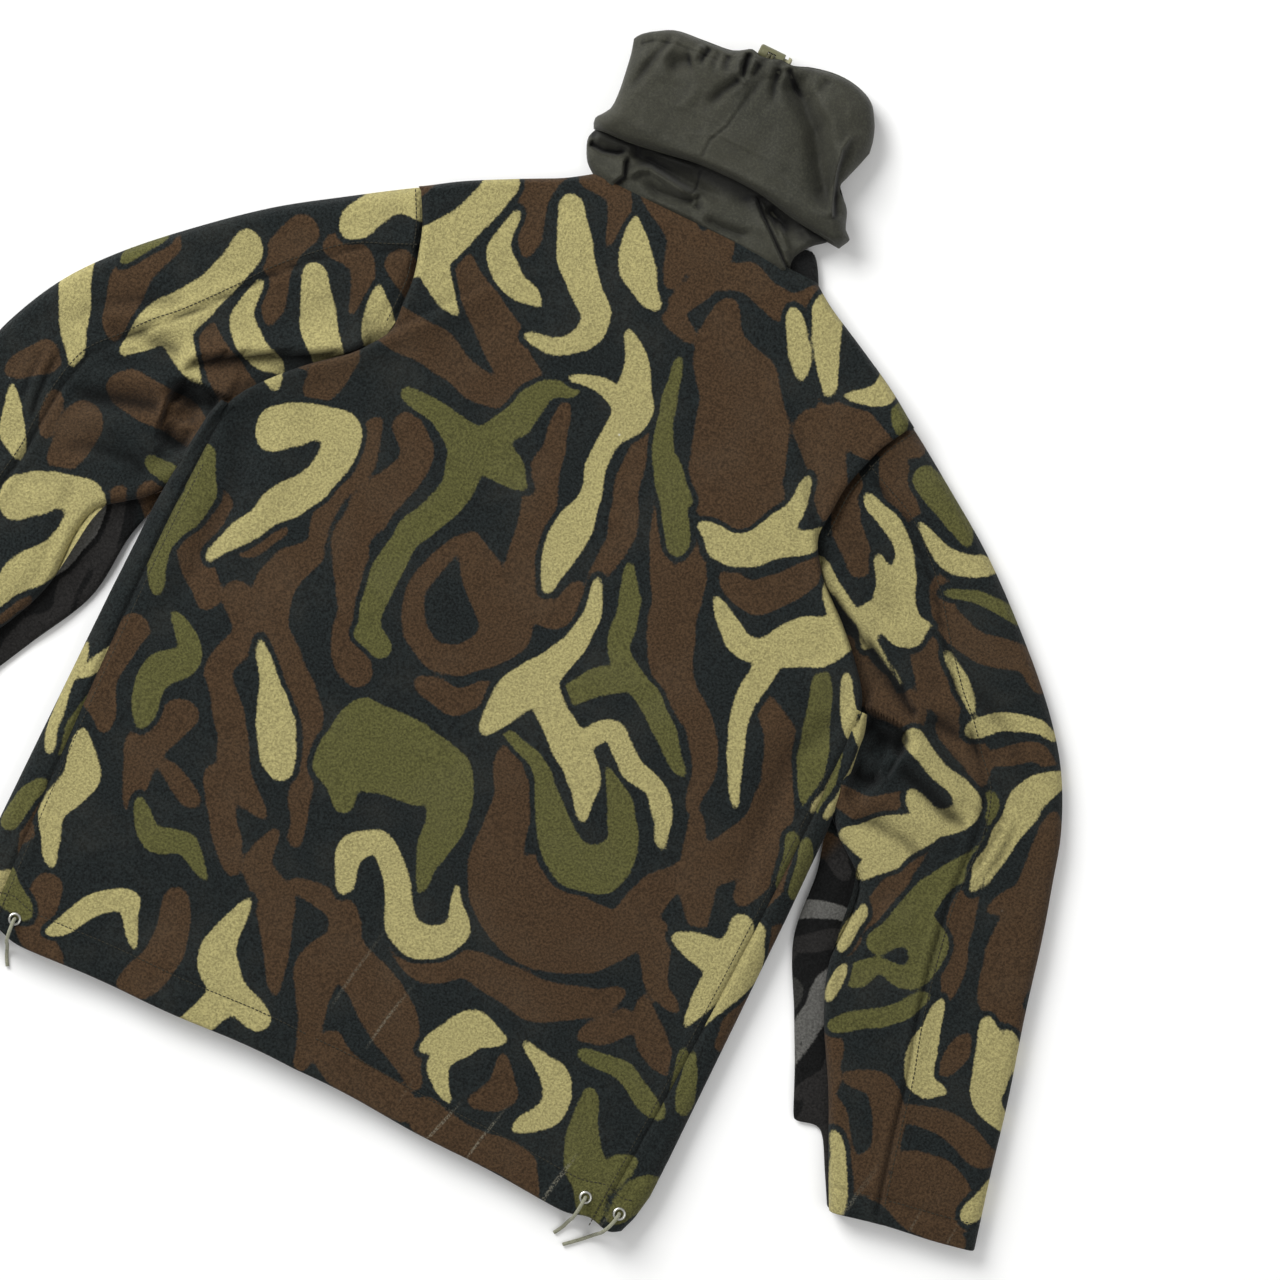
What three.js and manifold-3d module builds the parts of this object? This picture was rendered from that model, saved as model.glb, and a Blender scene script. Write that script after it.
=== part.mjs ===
// Camouflage fleece pullover with a built-in drawcord face mask, lying flat on its front with its back facing up.
// Millimetres, +Z up, +X to the wearer's right-hand sleeve as seen from above, +Y from hem to neck.
// The origin is on the resting face, in the middle of the body.
import * as THREE from 'three';
import { mergeVertices } from 'three/addons/utils/BufferGeometryUtils.js';
import Module from 'manifold-3d';

const wasm = await Module();
wasm.setup();

// ---- Driving dimensions ----
const fleece = 2.5; // thickness of the fleece
const loft = 24; // height of the body and sleeves as they lie
const gap = 0.3; // clearance between neighbouring pieces
const bodyHalf = 281; // half the chest and hem width
const hemY = -366;
const neckY = 338;
const neckHalf = 95;
const underarm = [bodyHalf, -20];
const shoulder = [bodyHalf - 73, 270]; // top end of the armhole seam
const seamInset = 27; // side seam to body edge at the hem
const seamInsetUnderarm = 15;

// The sleeve's two edges and its long seam, from the armhole to the cuff, measured from the underarm
const fromUnderarm = (points) => points.map(([x, y]) => [underarm[0] + x, underarm[1] + y]);
const sleeveOuter = fromUnderarm([
  [-68, 288], [17, 230], [105, 150], [156, 70], [179, -10], [209, -130], [231, -232],
]);
const sleeveInner = fromUnderarm([[0, 0], [16, -46], [32, -105], [61, -170], [117, -261]]);
const sleeveSeam = fromUnderarm([
  [-97, 249], [-51, 228], [39, 130], [97, 60], [105, 3], [133, -150], [157, -242],
]);
const cuffFacingDepth = 20;
const facingInset = fleece + 1;

const hemCasingDepth = 28; // drawcord tunnel, hem edge to stitch line
const casingWall = 1.2;
const hemCord = 2.8;
const hemCavity = 3.6; // height of the tunnel's inside
const eyeletBore = 2.9;
const eyeletWall = 0.4;
const eyeletFlange = 5;
const eyeletFlangeThickness = 0.7;
const eyeletBackX = bodyHalf - 44; // back eyelet, on the back panel
const eyeletFrontX = bodyHalf - 16; // front eyelet, on the flap that wraps to the back
const eyeletUp = 14; // eyelet centre above the hem edge

const nylon = 1; // mask fabric with its seam allowance
const neckSectionHalf = 91;
const neckSectionLoft = loft - 2 * fleece + 3;
const neckSectionTop = 392;
const faceHalf = 104;
const faceLoft = 44;
const faceBottom = 362; // lower lip of the rolled upper part
const faceTop = 470;
const maskCasingDepth = 14;
const elastic = 2.5;
const elasticCavity = 3.8;

const lockX = -12; // centre of the cord lock across the mask
const lockY = faceTop + 5;
const lockZ = 19;
const lockRadius = 5.5;
const lockLength = 20;
const lockBore = 3.9;
const plungerRadius = 3.6;
const plungerTravel = 2.5;
const plungerHeadRadius = 4.9;
const plungerHeadLength = 3;
const strandHalf = 1.5; // each elastic strand from the lock's centre
const strandClear = 0.2;

// ---- Materials ----
const plain = (color, roughness, metalness = 0) =>
  new THREE.MeshStandardMaterial({ color, roughness, metalness });
const camoFleece = plain(0x3a3826, 0.95);
const liningFleece = plain(0x161616, 0.95);
const maskNylon = plain(0x34362c, 0.6);
const cordFabric = plain(0x9a9a82, 0.8);
const eyeletMetal = plain(0xc9c9c2, 0.3, 1);
const lockPlastic = plain(0x5d6047, 0.5);
const springSteel = plain(0xb0b0b0, 0.3, 1);

// ---- Solids ----
function toSolid(geometry) {
  const bare = geometry.clone();
  bare.deleteAttribute('normal');
  bare.deleteAttribute('uv');
  const merged = mergeVertices(bare, 1e-3);
  const index = merged.index.array;
  return new wasm.Manifold(
    new wasm.Mesh({
      numProp: 3,
      vertProperties: merged.attributes.position.array,
      triVerts: new Uint32Array(index),
    }),
  );
}

function toGeometry(solid) {
  const mesh = solid.getMesh();
  return new THREE.BufferGeometry()
    .setAttribute('position', new THREE.BufferAttribute(new Float32Array(mesh.vertProperties), 3))
    .setIndex(new THREE.BufferAttribute(new Uint32Array(mesh.triVerts), 1));
}

const join = (...parts) => toGeometry(parts.map(toSolid).reduce((a, b) => a.add(b)));
const cut = (part, ...tools) =>
  toGeometry(tools.map(toSolid).reduce((a, b) => a.subtract(b), toSolid(part)));

const vector2 = (points) => points.map(([x, y]) => new THREE.Vector2(x, y));
const smooth = (points, divisions) => new THREE.SplineCurve(vector2(points)).getPoints(divisions);

// A line shifted to the right-hand side of its direction of travel
const shifted = (points, distance) =>
  points.map((p, i) => {
    const before = points[Math.max(i - 1, 0)];
    const after = points[Math.min(i + 1, points.length - 1)];
    const along = after.clone().sub(before).normalize();
    return new THREE.Vector2(p.x + along.y * distance, p.y - along.x * distance);
  });

// A line made longer at both ends, so that it can be trimmed
function lengthened(points, extra) {
  const end = (a, b) => a.clone().add(a.clone().sub(b).setLength(extra));
  return [end(points[0], points[1]), ...points, end(points.at(-1), points.at(-2))];
}

function slab(points, bottom, thickness) {
  return new THREE.ExtrudeGeometry(new THREE.Shape(points), {
    depth: thickness,
    bevelEnabled: false,
  }).translate(0, 0, bottom);
}

// A line of straight stretches that a profile follows corner by corner
class Polyline extends THREE.Curve {
  constructor(points) {
    super();
    this.points = points;
  }
  getPoint(t) {
    const place = t * (this.points.length - 1);
    const i = Math.max(0, Math.min(Math.floor(place), this.points.length - 2));
    return this.points[i].clone().lerp(this.points[i + 1], place - i);
  }
  getPointAt(u) {
    return this.getPoint(u);
  }
  getTangentAt(u) {
    return this.getTangent(u);
  }
}

function follow(shape, points) {
  return new THREE.ExtrudeGeometry(shape, {
    steps: points.length - 1,
    extrudePath: new Polyline(points),
  });
}

// A profile of [outward, height] points swept along a flat line; outward is to the left of travel
function sweep(profile, points) {
  const section = new THREE.Shape(profile.map(([out, height]) => new THREE.Vector2(-height, out)));
  return follow(section, points.map((p) => new THREE.Vector3(p.x, p.y, 0)));
}

// The half-round edge where fabric turns from the top layer to the bottom one
const rollSteps = 6;
function rollProfile(overlapTop, overlapBottom) {
  const radius = loft / 2;
  const arc = (r) =>
    Array.from({ length: rollSteps + 1 }, (_, i) => {
      const a = Math.PI / 2 - (Math.PI * i) / rollSteps;
      return [r * Math.cos(a), radius + r * Math.sin(a)];
    });
  return [
    [-overlapTop, loft],
    ...arc(radius),
    [-overlapBottom, 0],
    [-overlapBottom, fleece],
    ...arc(radius - fleece).reverse(),
    [-overlapTop, loft - fleece],
  ];
}
const overlap = 1;

// A block that holds everything on one side of a vertical plane through a point
const far = 1500;
function beyond([x, y], [nx, ny], shift = 0) {
  return new THREE.BoxGeometry(far, far, far)
    .translate(far / 2 + shift, 0, 0)
    .rotateZ(Math.atan2(ny, nx))
    .translate(x, y, 0);
}

const armhole = new THREE.Vector2(shoulder[0] - underarm[0], shoulder[1] - underarm[1]).normalize();
const armholeOut = [armhole.y, -armhole.x];
const mirrored = ([x, y]) => [-x, y];
const sleeveSide = beyond(underarm, armholeOut, -gap / 2);
const sleeveSideLeft = beyond(mirrored(underarm), mirrored(armholeOut), -gap / 2);
const bodySide = beyond(underarm, armholeOut.map((n) => -n), -gap / 2);
const cuffLine = new THREE.Vector2(
  sleeveOuter.at(-1)[0] - sleeveInner.at(-1)[0],
  sleeveOuter.at(-1)[1] - sleeveInner.at(-1)[1],
);
const cuffAlong = cuffLine.clone().normalize();
const pastCuff = beyond(sleeveOuter.at(-1), [cuffAlong.y, -cuffAlong.x]);
const pastNeck = beyond([0, neckY], [0, 1], -gap);

// ---- Body ----
const radius = loft / 2;
const shoulderEdge = lengthened(vector2([[neckHalf, neckY], sleeveOuter[0]]), 30);
const shoulderAxis = shifted([shoulderEdge[0], shoulderEdge.at(-1)], radius);
const topLayer = loft - fleece;
// The tape's round ends sit inside the rolled shoulder edges, which reach further in on a flatter shoulder
const shoulderSlope = new THREE.Vector2(sleeveOuter[0][0] - neckHalf, sleeveOuter[0][1] - neckY).normalize();
const neckTapeHalf = neckHalf - radius / Math.abs(shoulderSlope.y) + radius - fleece - gap;
const sideSeam = [
  [bodyHalf - seamInset, hemY],
  [bodyHalf - seamInsetUnderarm, underarm[1]],
];
const mirrorOutline = (half) => [
  ...half,
  ...half
    .slice()
    .reverse()
    .map((p) => new THREE.Vector2(-p.x, p.y)),
];
const wideX = underarm[0] + 19; // past the armhole, trimmed afterwards

const eyeletSpots = [eyeletBackX, eyeletFrontX].map((x) => [x, hemY + eyeletUp]);
function eyeletHole([x, y]) {
  return new THREE.CylinderGeometry(eyeletBore + eyeletWall + gap, eyeletBore + eyeletWall + gap, 4 * fleece, 24)
    .rotateX(Math.PI / 2)
    .translate(x, y, loft);
}

function backPanel() {
  const half = [
    new THREE.Vector2(sideSeam[0][0] - gap / 2, hemY),
    new THREE.Vector2(sideSeam[1][0] - gap / 2, underarm[1]),
    new THREE.Vector2(sideSeam[1][0] - gap / 2, underarm[1] + gap),
    new THREE.Vector2(wideX, underarm[1] + gap),
    shoulderAxis.at(-1),
    shoulderAxis[0],
  ];
  const roll = sweep(rollProfile(overlap, 0), shoulderAxis);
  const rollLeft = toGeometry(toSolid(roll).mirror([1, 0, 0]));
  const whole = join(slab(mirrorOutline(half), topLayer, fleece), roll, rollLeft);
  const holes = [eyeletSpots[0], mirrored(eyeletSpots[0])].map(eyeletHole);
  return cut(whole, sleeveSide, sleeveSideLeft, pastNeck, ...holes);
}

function frontPanel() {
  const axisX = bodyHalf - radius;
  const inner = shifted(shoulderAxis, gap);
  const half = [
    new THREE.Vector2(axisX, hemY),
    new THREE.Vector2(axisX, underarm[1] + gap),
    new THREE.Vector2(wideX, underarm[1] + gap),
    inner.at(-1),
    inner[0],
  ];
  const edge = vector2([[axisX, underarm[1]], [axisX, hemY]]);
  const flap = vector2([
    [sideSeam[0][0] + gap / 2, hemY],
    [axisX, hemY],
    [axisX, underarm[1]],
    [sideSeam[1][0] + gap / 2, underarm[1]],
  ]);
  const side = join(sweep(rollProfile(overlap, overlap), edge), slab(flap, topLayer, fleece));
  const sideLeft = toGeometry(toSolid(side).mirror([1, 0, 0]));
  const whole = join(slab(mirrorOutline(half), 0, fleece), side, sideLeft);
  const holes = [eyeletSpots[1], mirrored(eyeletSpots[1])].map(eyeletHole);
  return cut(whole, sleeveSide, sleeveSideLeft, pastNeck, ...holes);
}

// A channel that closes the drawcord tunnel against a panel; the profile is [y, z]
function hemCasing(panelFace, inward, half) {
  const z = (depth) => panelFace + inward * depth;
  const top = hemY + hemCasingDepth;
  const wall = casingWall;
  const profile = [
    [hemY, gap], [hemY, gap + hemCavity + wall], [top, gap + hemCavity + wall], [top, gap],
    [top - wall, gap], [top - wall, gap + hemCavity], [hemY + wall, gap + hemCavity], [hemY + wall, gap],
  ];
  const section = new THREE.Shape(profile.map(([y, depth]) => new THREE.Vector2(y, z(depth))));
  return new THREE.ExtrudeGeometry(section, { depth: 2 * half, bevelEnabled: false })
    .translate(0, 0, -half)
    .rotateX(Math.PI / 2)
    .rotateZ(Math.PI / 2);
}

// A closed band with round ends, from y0 to y1, standing between z0 and z1
function stadium(half, z0, z1) {
  const r = (z1 - z0) / 2;
  const middle = (z0 + z1) / 2;
  const outline = new THREE.Path();
  outline.absarc(half - r, middle, r, -Math.PI / 2, Math.PI / 2, false);
  outline.absarc(-half + r, middle, r, Math.PI / 2, (3 * Math.PI) / 2, false);
  return outline.getPoints(5);
}
function stadiumBlock(half, z0, z1, y0, y1) {
  return new THREE.ExtrudeGeometry(new THREE.Shape(stadium(half, z0, z1)), {
    depth: y1 - y0,
    bevelEnabled: false,
  })
    .rotateX(Math.PI / 2)
    .translate(0, y1, 0);
}
function band(half, z0, z1, wall, y0, y1) {
  const hollow = stadiumBlock(half - wall, z0 + wall, z1 - wall, y0 - 1, y1 + 1);
  return cut(stadiumBlock(half, z0, z1, y0, y1), hollow);
}

// ---- Sleeves ----
function sleevePiece(edge, seam, turnsLeft) {
  const region = [...edge, ...seam.slice().reverse()];
  const path = turnsLeft ? edge : edge.slice().reverse();
  const piece = join(
    slab(region, topLayer, fleece),
    slab(region, 0, fleece),
    sweep(rollProfile(overlap, overlap), path),
  );
  return cut(piece, bodySide, pastCuff);
}
const sleeveDivisions = 13;
const trimLength = 30;
const outerAxis = shifted(lengthened(smooth(sleeveOuter, sleeveDivisions), trimLength), radius);
const innerAxis = shifted(lengthened(smooth(sleeveInner, sleeveDivisions), trimLength), -radius);
const seamLine = lengthened(smooth(sleeveSeam, sleeveDivisions), trimLength);

function cuffFacing() {
  const half = cuffLine.length() / 2 - facingInset;
  const middle = [
    (sleeveOuter.at(-1)[0] + sleeveInner.at(-1)[0]) / 2,
    (sleeveOuter.at(-1)[1] + sleeveInner.at(-1)[1]) / 2,
  ];
  return band(half, fleece + gap, topLayer - gap, casingWall, 0, cuffFacingDepth)
    .rotateZ(Math.atan2(cuffAlong.y, cuffAlong.x))
    .translate(middle[0], middle[1], 0);
}

// ---- Cords ----
const circle = (r, sides) =>
  new THREE.Shape(
    Array.from({ length: sides }, (_, i) => {
      const a = (2 * Math.PI * i) / sides;
      return new THREE.Vector2(r * Math.cos(a), r * Math.sin(a));
    }),
  );
// A round cord through hand-set points; fine is how many stretches lie between two of them
function cord(points, diameter, fine = 2, sides = 8) {
  const path = new THREE.CatmullRomCurve3(points.map((p) => new THREE.Vector3(...p)), false, 'centripetal');
  return follow(circle(diameter / 2, sides), path.getPoints(fine * (points.length - 1)));
}

// The cord inside the back hem tunnel turns up into its eyelets
const backCordZ = topLayer - gap - hemCavity / 2;
const eyeletY = hemY + eyeletUp;
const backTurn = (side) => [
  [side * (eyeletBackX - 8), eyeletY, backCordZ],
  [side * (eyeletBackX - 4), eyeletY, backCordZ - 0.2],
  [side * (eyeletBackX - 1.6), eyeletY, backCordZ + 0.3],
  [side * (eyeletBackX - 0.2), eyeletY, backCordZ + 1.8],
  [side * eyeletBackX, eyeletY, loft - 1],
];
const hemCordBack = [...backTurn(-1).reverse(), [-120, eyeletY, backCordZ], [120, eyeletY, backCordZ], ...backTurn(1)];

// The cord inside the front hem tunnel climbs the rolled side edge to the eyelet on the flap
const frontCordZ = fleece + gap + hemCavity / 2;
const frontTurn = (side) => [
  [side * (bodyHalf - 41), eyeletY, frontCordZ],
  [side * (bodyHalf - 29), eyeletY, frontCordZ],
  [side * (bodyHalf - 18), eyeletY, frontCordZ + 1],
  [side * (bodyHalf - 10), eyeletY, frontCordZ + 4.4],
  [side * (bodyHalf - 8.6), eyeletY, frontCordZ + 8.4],
  [side * (bodyHalf - 11.6), eyeletY, frontCordZ + 12.2],
  [side * (eyeletFrontX + 1), eyeletY, loft - 4.6],
  [side * eyeletFrontX, eyeletY, loft - 2.6],
  [side * eyeletFrontX, eyeletY, loft - 1],
];
const hemCordFront = [...frontTurn(-1).reverse(), [-120, eyeletY, frontCordZ], [120, eyeletY, frontCordZ], ...frontTurn(1)];

// The free ends: up out of the eyelet, over the hem edge and down onto the surface that the garment lies on.
// Each point is measured from the middle of its eyelet, on top of the fabric.
const tailBack = [
  [0, 0, 0], [0, -0.1, 1.8], [0, -0.6, 3.6], [-0.2, -2.2, 5.4], [-0.4, -4.6, 6.5], [-0.7, -7.6, 7], [-1, -10.8, 6.7],
  [-1.4, -14, 5.4], [-1.7, -16.4, 2.8], [-2, -18.2, -1.2], [-2.2, -19.3, -6], [-2.4, -20.2, -11.2], [-2.8, -21.8, -16.2],
  [-3.6, -24.6, -20.2], [-5, -28.6, -22.1], [-7.2, -32.8, -22.5], [-9.2, -36, -22.5],
];
const tailFront = [
  [0, 0, 0], [0, -0.2, 1.8], [0, -0.8, 3.6], [-0.3, -2.4, 5.4], [-0.8, -4.8, 6.5], [-1.6, -7.8, 6.9], [-2.6, -11, 6.5],
  [-3.8, -14, 5.1], [-4.9, -16.6, 2.4], [-5.8, -18.6, -1.6], [-6.6, -20, -6.4], [-7.6, -21.4, -11.6],
  [-9, -23.2, -16.4], [-11.2, -25.8, -20.2], [-14.4, -29.2, -22.1], [-18.6, -33.2, -22.5], [-23, -37.2, -22.5],
  [-27.4, -41, -22.5],
];
const fromEyelet = (points, spot) => points.map(([x, y, z]) => [spot[0] + x, spot[1] + y, loft + z]);

// The mask's elastic: tail, lock, S-bend, once round the casing, and back out to the second tail
const elasticZ = faceLoft - nylon - gap - elasticCavity / 2;
const elasticY = faceTop - maskCasingDepth / 2;
const elasticRadius = faceLoft / 2 - nylon - gap - elasticCavity / 2;
const elasticEnd = faceHalf - nylon - gap - elasticCavity / 2 - elasticRadius;
const strand = (side) => {
  const x = lockX + side * strandHalf;
  return [
    [x, lockY, 5.4], [x, lockY, 12], [x, lockY, lockZ], [x, lockY, lockZ + 6],
    [x, lockY - 1.5, lockZ + 10], [x, lockY - 5, lockZ + 13],
    [x + side * 0.6, elasticY + 1.4, lockZ + 16], [x + side * 1.6, elasticY, lockZ + 19.5],
    [x + side * 4.6, elasticY, elasticZ - 0.6], [x + side * 9, elasticY, elasticZ],
  ];
};
const roundEnd = (side) =>
  Array.from({ length: 9 }, (_, i) => {
    const a = (Math.PI * i) / 8;
    return [
      side * (elasticEnd + elasticRadius * Math.sin(a)),
      elasticY,
      faceLoft / 2 + elasticRadius * Math.cos(a),
    ];
  });
const elasticPath = [
  ...strand(1),
  [elasticEnd / 2, elasticY, elasticZ],
  ...roundEnd(1),
  [elasticEnd / 3, elasticY, faceLoft - elasticZ],
  [-elasticEnd / 3, elasticY, faceLoft - elasticZ],
  ...roundEnd(-1).reverse(),
  [-elasticEnd / 2 - 10, elasticY, elasticZ],
  ...strand(-1).reverse(),
];

// ---- Eyelet ----
function eyelet() {
  const inner = eyeletBore;
  const outer = eyeletBore + eyeletWall;
  const profile = [
    [inner, -fleece], [outer, -fleece], [outer, gap], [eyeletFlange, gap],
    [eyeletFlange - 0.3, gap + eyeletFlangeThickness], [inner + 0.2, gap + eyeletFlangeThickness],
    [inner, gap + eyeletFlangeThickness / 2], [inner, -fleece],
  ];
  return new THREE.LatheGeometry(vector2(profile), 16).rotateX(Math.PI / 2);
}

// ---- Mask ----
function faceHalfShell(side) {
  const shell = band(faceHalf, 0, faceLoft, nylon, faceBottom, faceTop);
  const other = new THREE.BoxGeometry(far, far, far).translate(-side * (far / 2 - gap / 2), 0, 0);
  return cut(shell, other);
}

function maskCasing() {
  const skin = nylon + gap;
  const y0 = faceTop - maskCasingDepth;
  const block = band(faceHalf - skin, skin, faceLoft - skin, elasticCavity + casingWall, y0, faceTop);
  const groove = cut(
    stadiumBlock(faceHalf, 0, faceLoft, y0 + casingWall, faceTop - casingWall),
    stadiumBlock(
      faceHalf - skin - elasticCavity, skin + elasticCavity, faceLoft - skin - elasticCavity,
      y0, faceTop,
    ),
  );
  const slot = new THREE.BoxGeometry(18, 5.5, 12).translate(lockX, elasticY, elasticZ - 4);
  return cut(block, groove, slot);
}

// An oval reinforcing ring round the slot where the elastic leaves its casing
function cordPatch() {
  const outline = (length, width) => {
    const r = width / 2;
    const s = new THREE.Path();
    s.absarc(length / 2 - r, 0, r, -Math.PI / 2, Math.PI / 2, false);
    s.absarc(-length / 2 + r, 0, r, Math.PI / 2, (3 * Math.PI) / 2, false);
    return s.getPoints(6);
  };
  const shape = new THREE.Shape(outline(24, 11));
  shape.holes.push(new THREE.Path(outline(18, 5.5)));
  const top = elasticZ - elasticCavity / 2 - casingWall - gap;
  return new THREE.ExtrudeGeometry(shape, { depth: 0.8, bevelEnabled: false }).translate(lockX, elasticY, top - 0.8);
}

// ---- Cord lock: a barrel across the cord, with a spring-loaded plunger in its end ----
const barrelFloor = 1.6;
const plungerBody = 2 * (strandHalf + elastic / 2 + strandClear) + plungerTravel + 3.2;
const alongX = (geometry) => geometry.rotateZ(-Math.PI / 2);
const rod = (r, length, start, segments = 24) =>
  alongX(new THREE.CylinderGeometry(r, r, length, segments).translate(0, length / 2, 0)).translate(start, 0, 0);
const lockStart = lockX - lockLength / 2;
const slotHalf = strandHalf + elastic / 2 + strandClear;

function placeLock(geometry) {
  return geometry.translate(0, lockY, lockZ);
}

function lockBody() {
  const barrel = alongX(
    new THREE.LatheGeometry(
      vector2([
        [0, 0], [lockRadius - 1, 0], [lockRadius, 1], [lockRadius, lockLength - 0.6], [lockRadius - 0.6, lockLength],
        [0, lockLength],
      ]),
      28,
    ),
  ).translate(lockStart, 0, 0);
  const bore = rod(lockBore, lockLength, lockStart + barrelFloor);
  const cordSlot = new THREE.BoxGeometry(2 * slotHalf + 0.6, elastic + 1, 3 * lockRadius).translate(lockX, 0, 0);
  return placeLock(cut(barrel, bore, cordSlot));
}

const plungerStart = lockX - slotHalf - 1.6;
function lockPlunger() {
  const stem = rod(plungerRadius, plungerBody, plungerStart);
  const headStart = lockStart + lockLength + plungerTravel + gap;
  const neck = rod(plungerRadius - 0.8, headStart - plungerStart - plungerBody + 1, plungerStart + plungerBody - 0.5);
  const head = alongX(
    new THREE.LatheGeometry(
      vector2([
        [0, 0], [plungerHeadRadius, 0], [plungerHeadRadius, plungerHeadLength - 1],
        [plungerHeadRadius - 1, plungerHeadLength], [0, plungerHeadLength],
      ]),
      24,
    ),
  ).translate(headStart, 0, 0);
  const slot = new THREE.BoxGeometry(2 * slotHalf + plungerTravel, elastic + 1, 3 * lockRadius).translate(
    lockX + plungerTravel / 2, 0, 0,
  );
  return placeLock(cut(join(stem, neck, head), slot));
}

function lockSpring() {
  const start = lockStart + barrelFloor + gap;
  const length = plungerStart - start - gap;
  const wire = 0.4;
  const turns = 3;
  const coil = Array.from({ length: turns * 10 + 1 }, (_, i) => {
    const a = (2 * Math.PI * i) / 10;
    const x = start + wire / 2 + ((length - wire) * i) / (turns * 10);
    return [x, 2.6 * Math.cos(a), 2.6 * Math.sin(a)];
  });
  return placeLock(cord(coil, wire, 1, 6));
}

const cordEndBead = () =>
  new THREE.LatheGeometry(
    vector2([[0, 0], [2.6, 0], [3.8, 1.2], [3.8, 3.6], [2.8, 4.8], [0, 4.8]]),
    20,
  )
    .rotateX(Math.PI / 2)
    .translate(lockX, lockY, 0.3);

// ---- Assembly ----
const garment = new THREE.Group();
const leftSide = new THREE.Group();
leftSide.scale.x = -1;
garment.add(leftSide);

function add(name, geometry, material, parent = garment) {
  const mesh = new THREE.Mesh(geometry, material);
  mesh.name = name;
  parent.add(mesh);
  return mesh;
}
function addPair(name, geometry, material) {
  add(`${name}_right`, geometry, material);
  add(`${name}_left`, geometry, material, leftSide);
}

add('back_panel', backPanel(), camoFleece);
add('front_panel', frontPanel(), camoFleece);
add('neck_tape', band(neckTapeHalf, fleece + gap, topLayer - gap, casingWall, neckY - 16, neckY - gap), liningFleece);
add('hem_casing_back', hemCasing(topLayer, -1, bodyHalf - seamInset - 2), camoFleece);
add('hem_casing_front', hemCasing(fleece, 1, bodyHalf - seamInset - 4), camoFleece);
add('hem_cord_back', cord(hemCordBack, hemCord), cordFabric);
add('hem_cord_front', cord(hemCordFront, hemCord), cordFabric);
addPair('hem_cord_end_back', cord(fromEyelet(tailBack, eyeletSpots[0]), hemCord, 1), cordFabric);
addPair('hem_cord_end_front', cord(fromEyelet(tailFront, eyeletSpots[1]), hemCord, 1), cordFabric);
addPair('hem_eyelet_back', eyelet().translate(...eyeletSpots[0], loft), eyeletMetal);
addPair('hem_eyelet_front', eyelet().translate(...eyeletSpots[1], loft), eyeletMetal);

addPair('sleeve_upper', sleevePiece(outerAxis, shifted(seamLine, -gap / 2), true), camoFleece);
addPair('sleeve_under', sleevePiece(innerAxis, shifted(seamLine, gap / 2), false), camoFleece);
addPair('cuff_facing', cuffFacing(), liningFleece);

const neckSectionZ = (loft - neckSectionLoft) / 2 + gap;
add('mask_neck_section', band(neckSectionHalf, neckSectionZ, neckSectionZ + neckSectionLoft, nylon, neckY + gap, neckSectionTop), maskNylon);
add('mask_face_right', faceHalfShell(1), maskNylon);
add('mask_face_left', faceHalfShell(-1), maskNylon);
add('mask_cord_casing', maskCasing(), maskNylon);
add('mask_cord_patch', cordPatch(), maskNylon);
add('mask_elastic', cord(elasticPath, elastic), cordFabric);
add('mask_cord_end', cordEndBead(), lockPlastic);
add('cord_lock_body', lockBody(), lockPlastic);
add('cord_lock_plunger', lockPlunger(), lockPlastic);
add('cord_lock_spring', lockSpring(), springSteel);

export default garment;
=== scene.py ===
"""A camouflage fleece pullover with a nylon face mask, laid flat with its back up.

Shapes are worked out in millimetres, in the frame of the CAD model, and turned into metres when a
mesh is made.
"""
import math

import bpy
import numpy as np
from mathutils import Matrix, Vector


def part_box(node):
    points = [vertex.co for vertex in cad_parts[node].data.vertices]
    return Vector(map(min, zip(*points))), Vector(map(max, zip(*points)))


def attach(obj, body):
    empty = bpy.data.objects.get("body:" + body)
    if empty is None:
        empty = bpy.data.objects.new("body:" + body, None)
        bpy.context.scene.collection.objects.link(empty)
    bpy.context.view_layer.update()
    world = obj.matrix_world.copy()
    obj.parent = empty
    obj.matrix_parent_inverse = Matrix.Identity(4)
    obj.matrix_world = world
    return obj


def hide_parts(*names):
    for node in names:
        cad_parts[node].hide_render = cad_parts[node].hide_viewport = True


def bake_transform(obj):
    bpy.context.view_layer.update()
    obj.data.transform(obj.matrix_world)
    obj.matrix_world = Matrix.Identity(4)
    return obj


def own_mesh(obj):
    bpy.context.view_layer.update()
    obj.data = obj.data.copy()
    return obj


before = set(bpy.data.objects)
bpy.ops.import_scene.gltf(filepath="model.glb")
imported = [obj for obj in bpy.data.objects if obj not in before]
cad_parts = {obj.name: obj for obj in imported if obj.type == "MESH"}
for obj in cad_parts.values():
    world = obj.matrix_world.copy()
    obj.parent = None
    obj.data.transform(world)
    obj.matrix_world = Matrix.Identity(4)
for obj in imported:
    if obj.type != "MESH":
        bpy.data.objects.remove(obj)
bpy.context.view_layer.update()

MM = 0.001


def box_mm(node):
    low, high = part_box(node)
    return np.array(low) / MM, np.array(high) / MM


# ---------------------------------------------------------------- sizes from the frame
BACK_LOW, BACK_HIGH = box_mm("back_panel")
TOP = BACK_HIGH[2]  # height of the plain CAD body
HEM = BACK_LOW[1]
EYELETS = {}
for _place in ("back", "front"):
    for _side in ("right", "left"):
        _low, _high = box_mm(f"hem_eyelet_{_place}_{_side}")
        EYELETS[_place, _side] = (_low + _high) / 2

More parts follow.
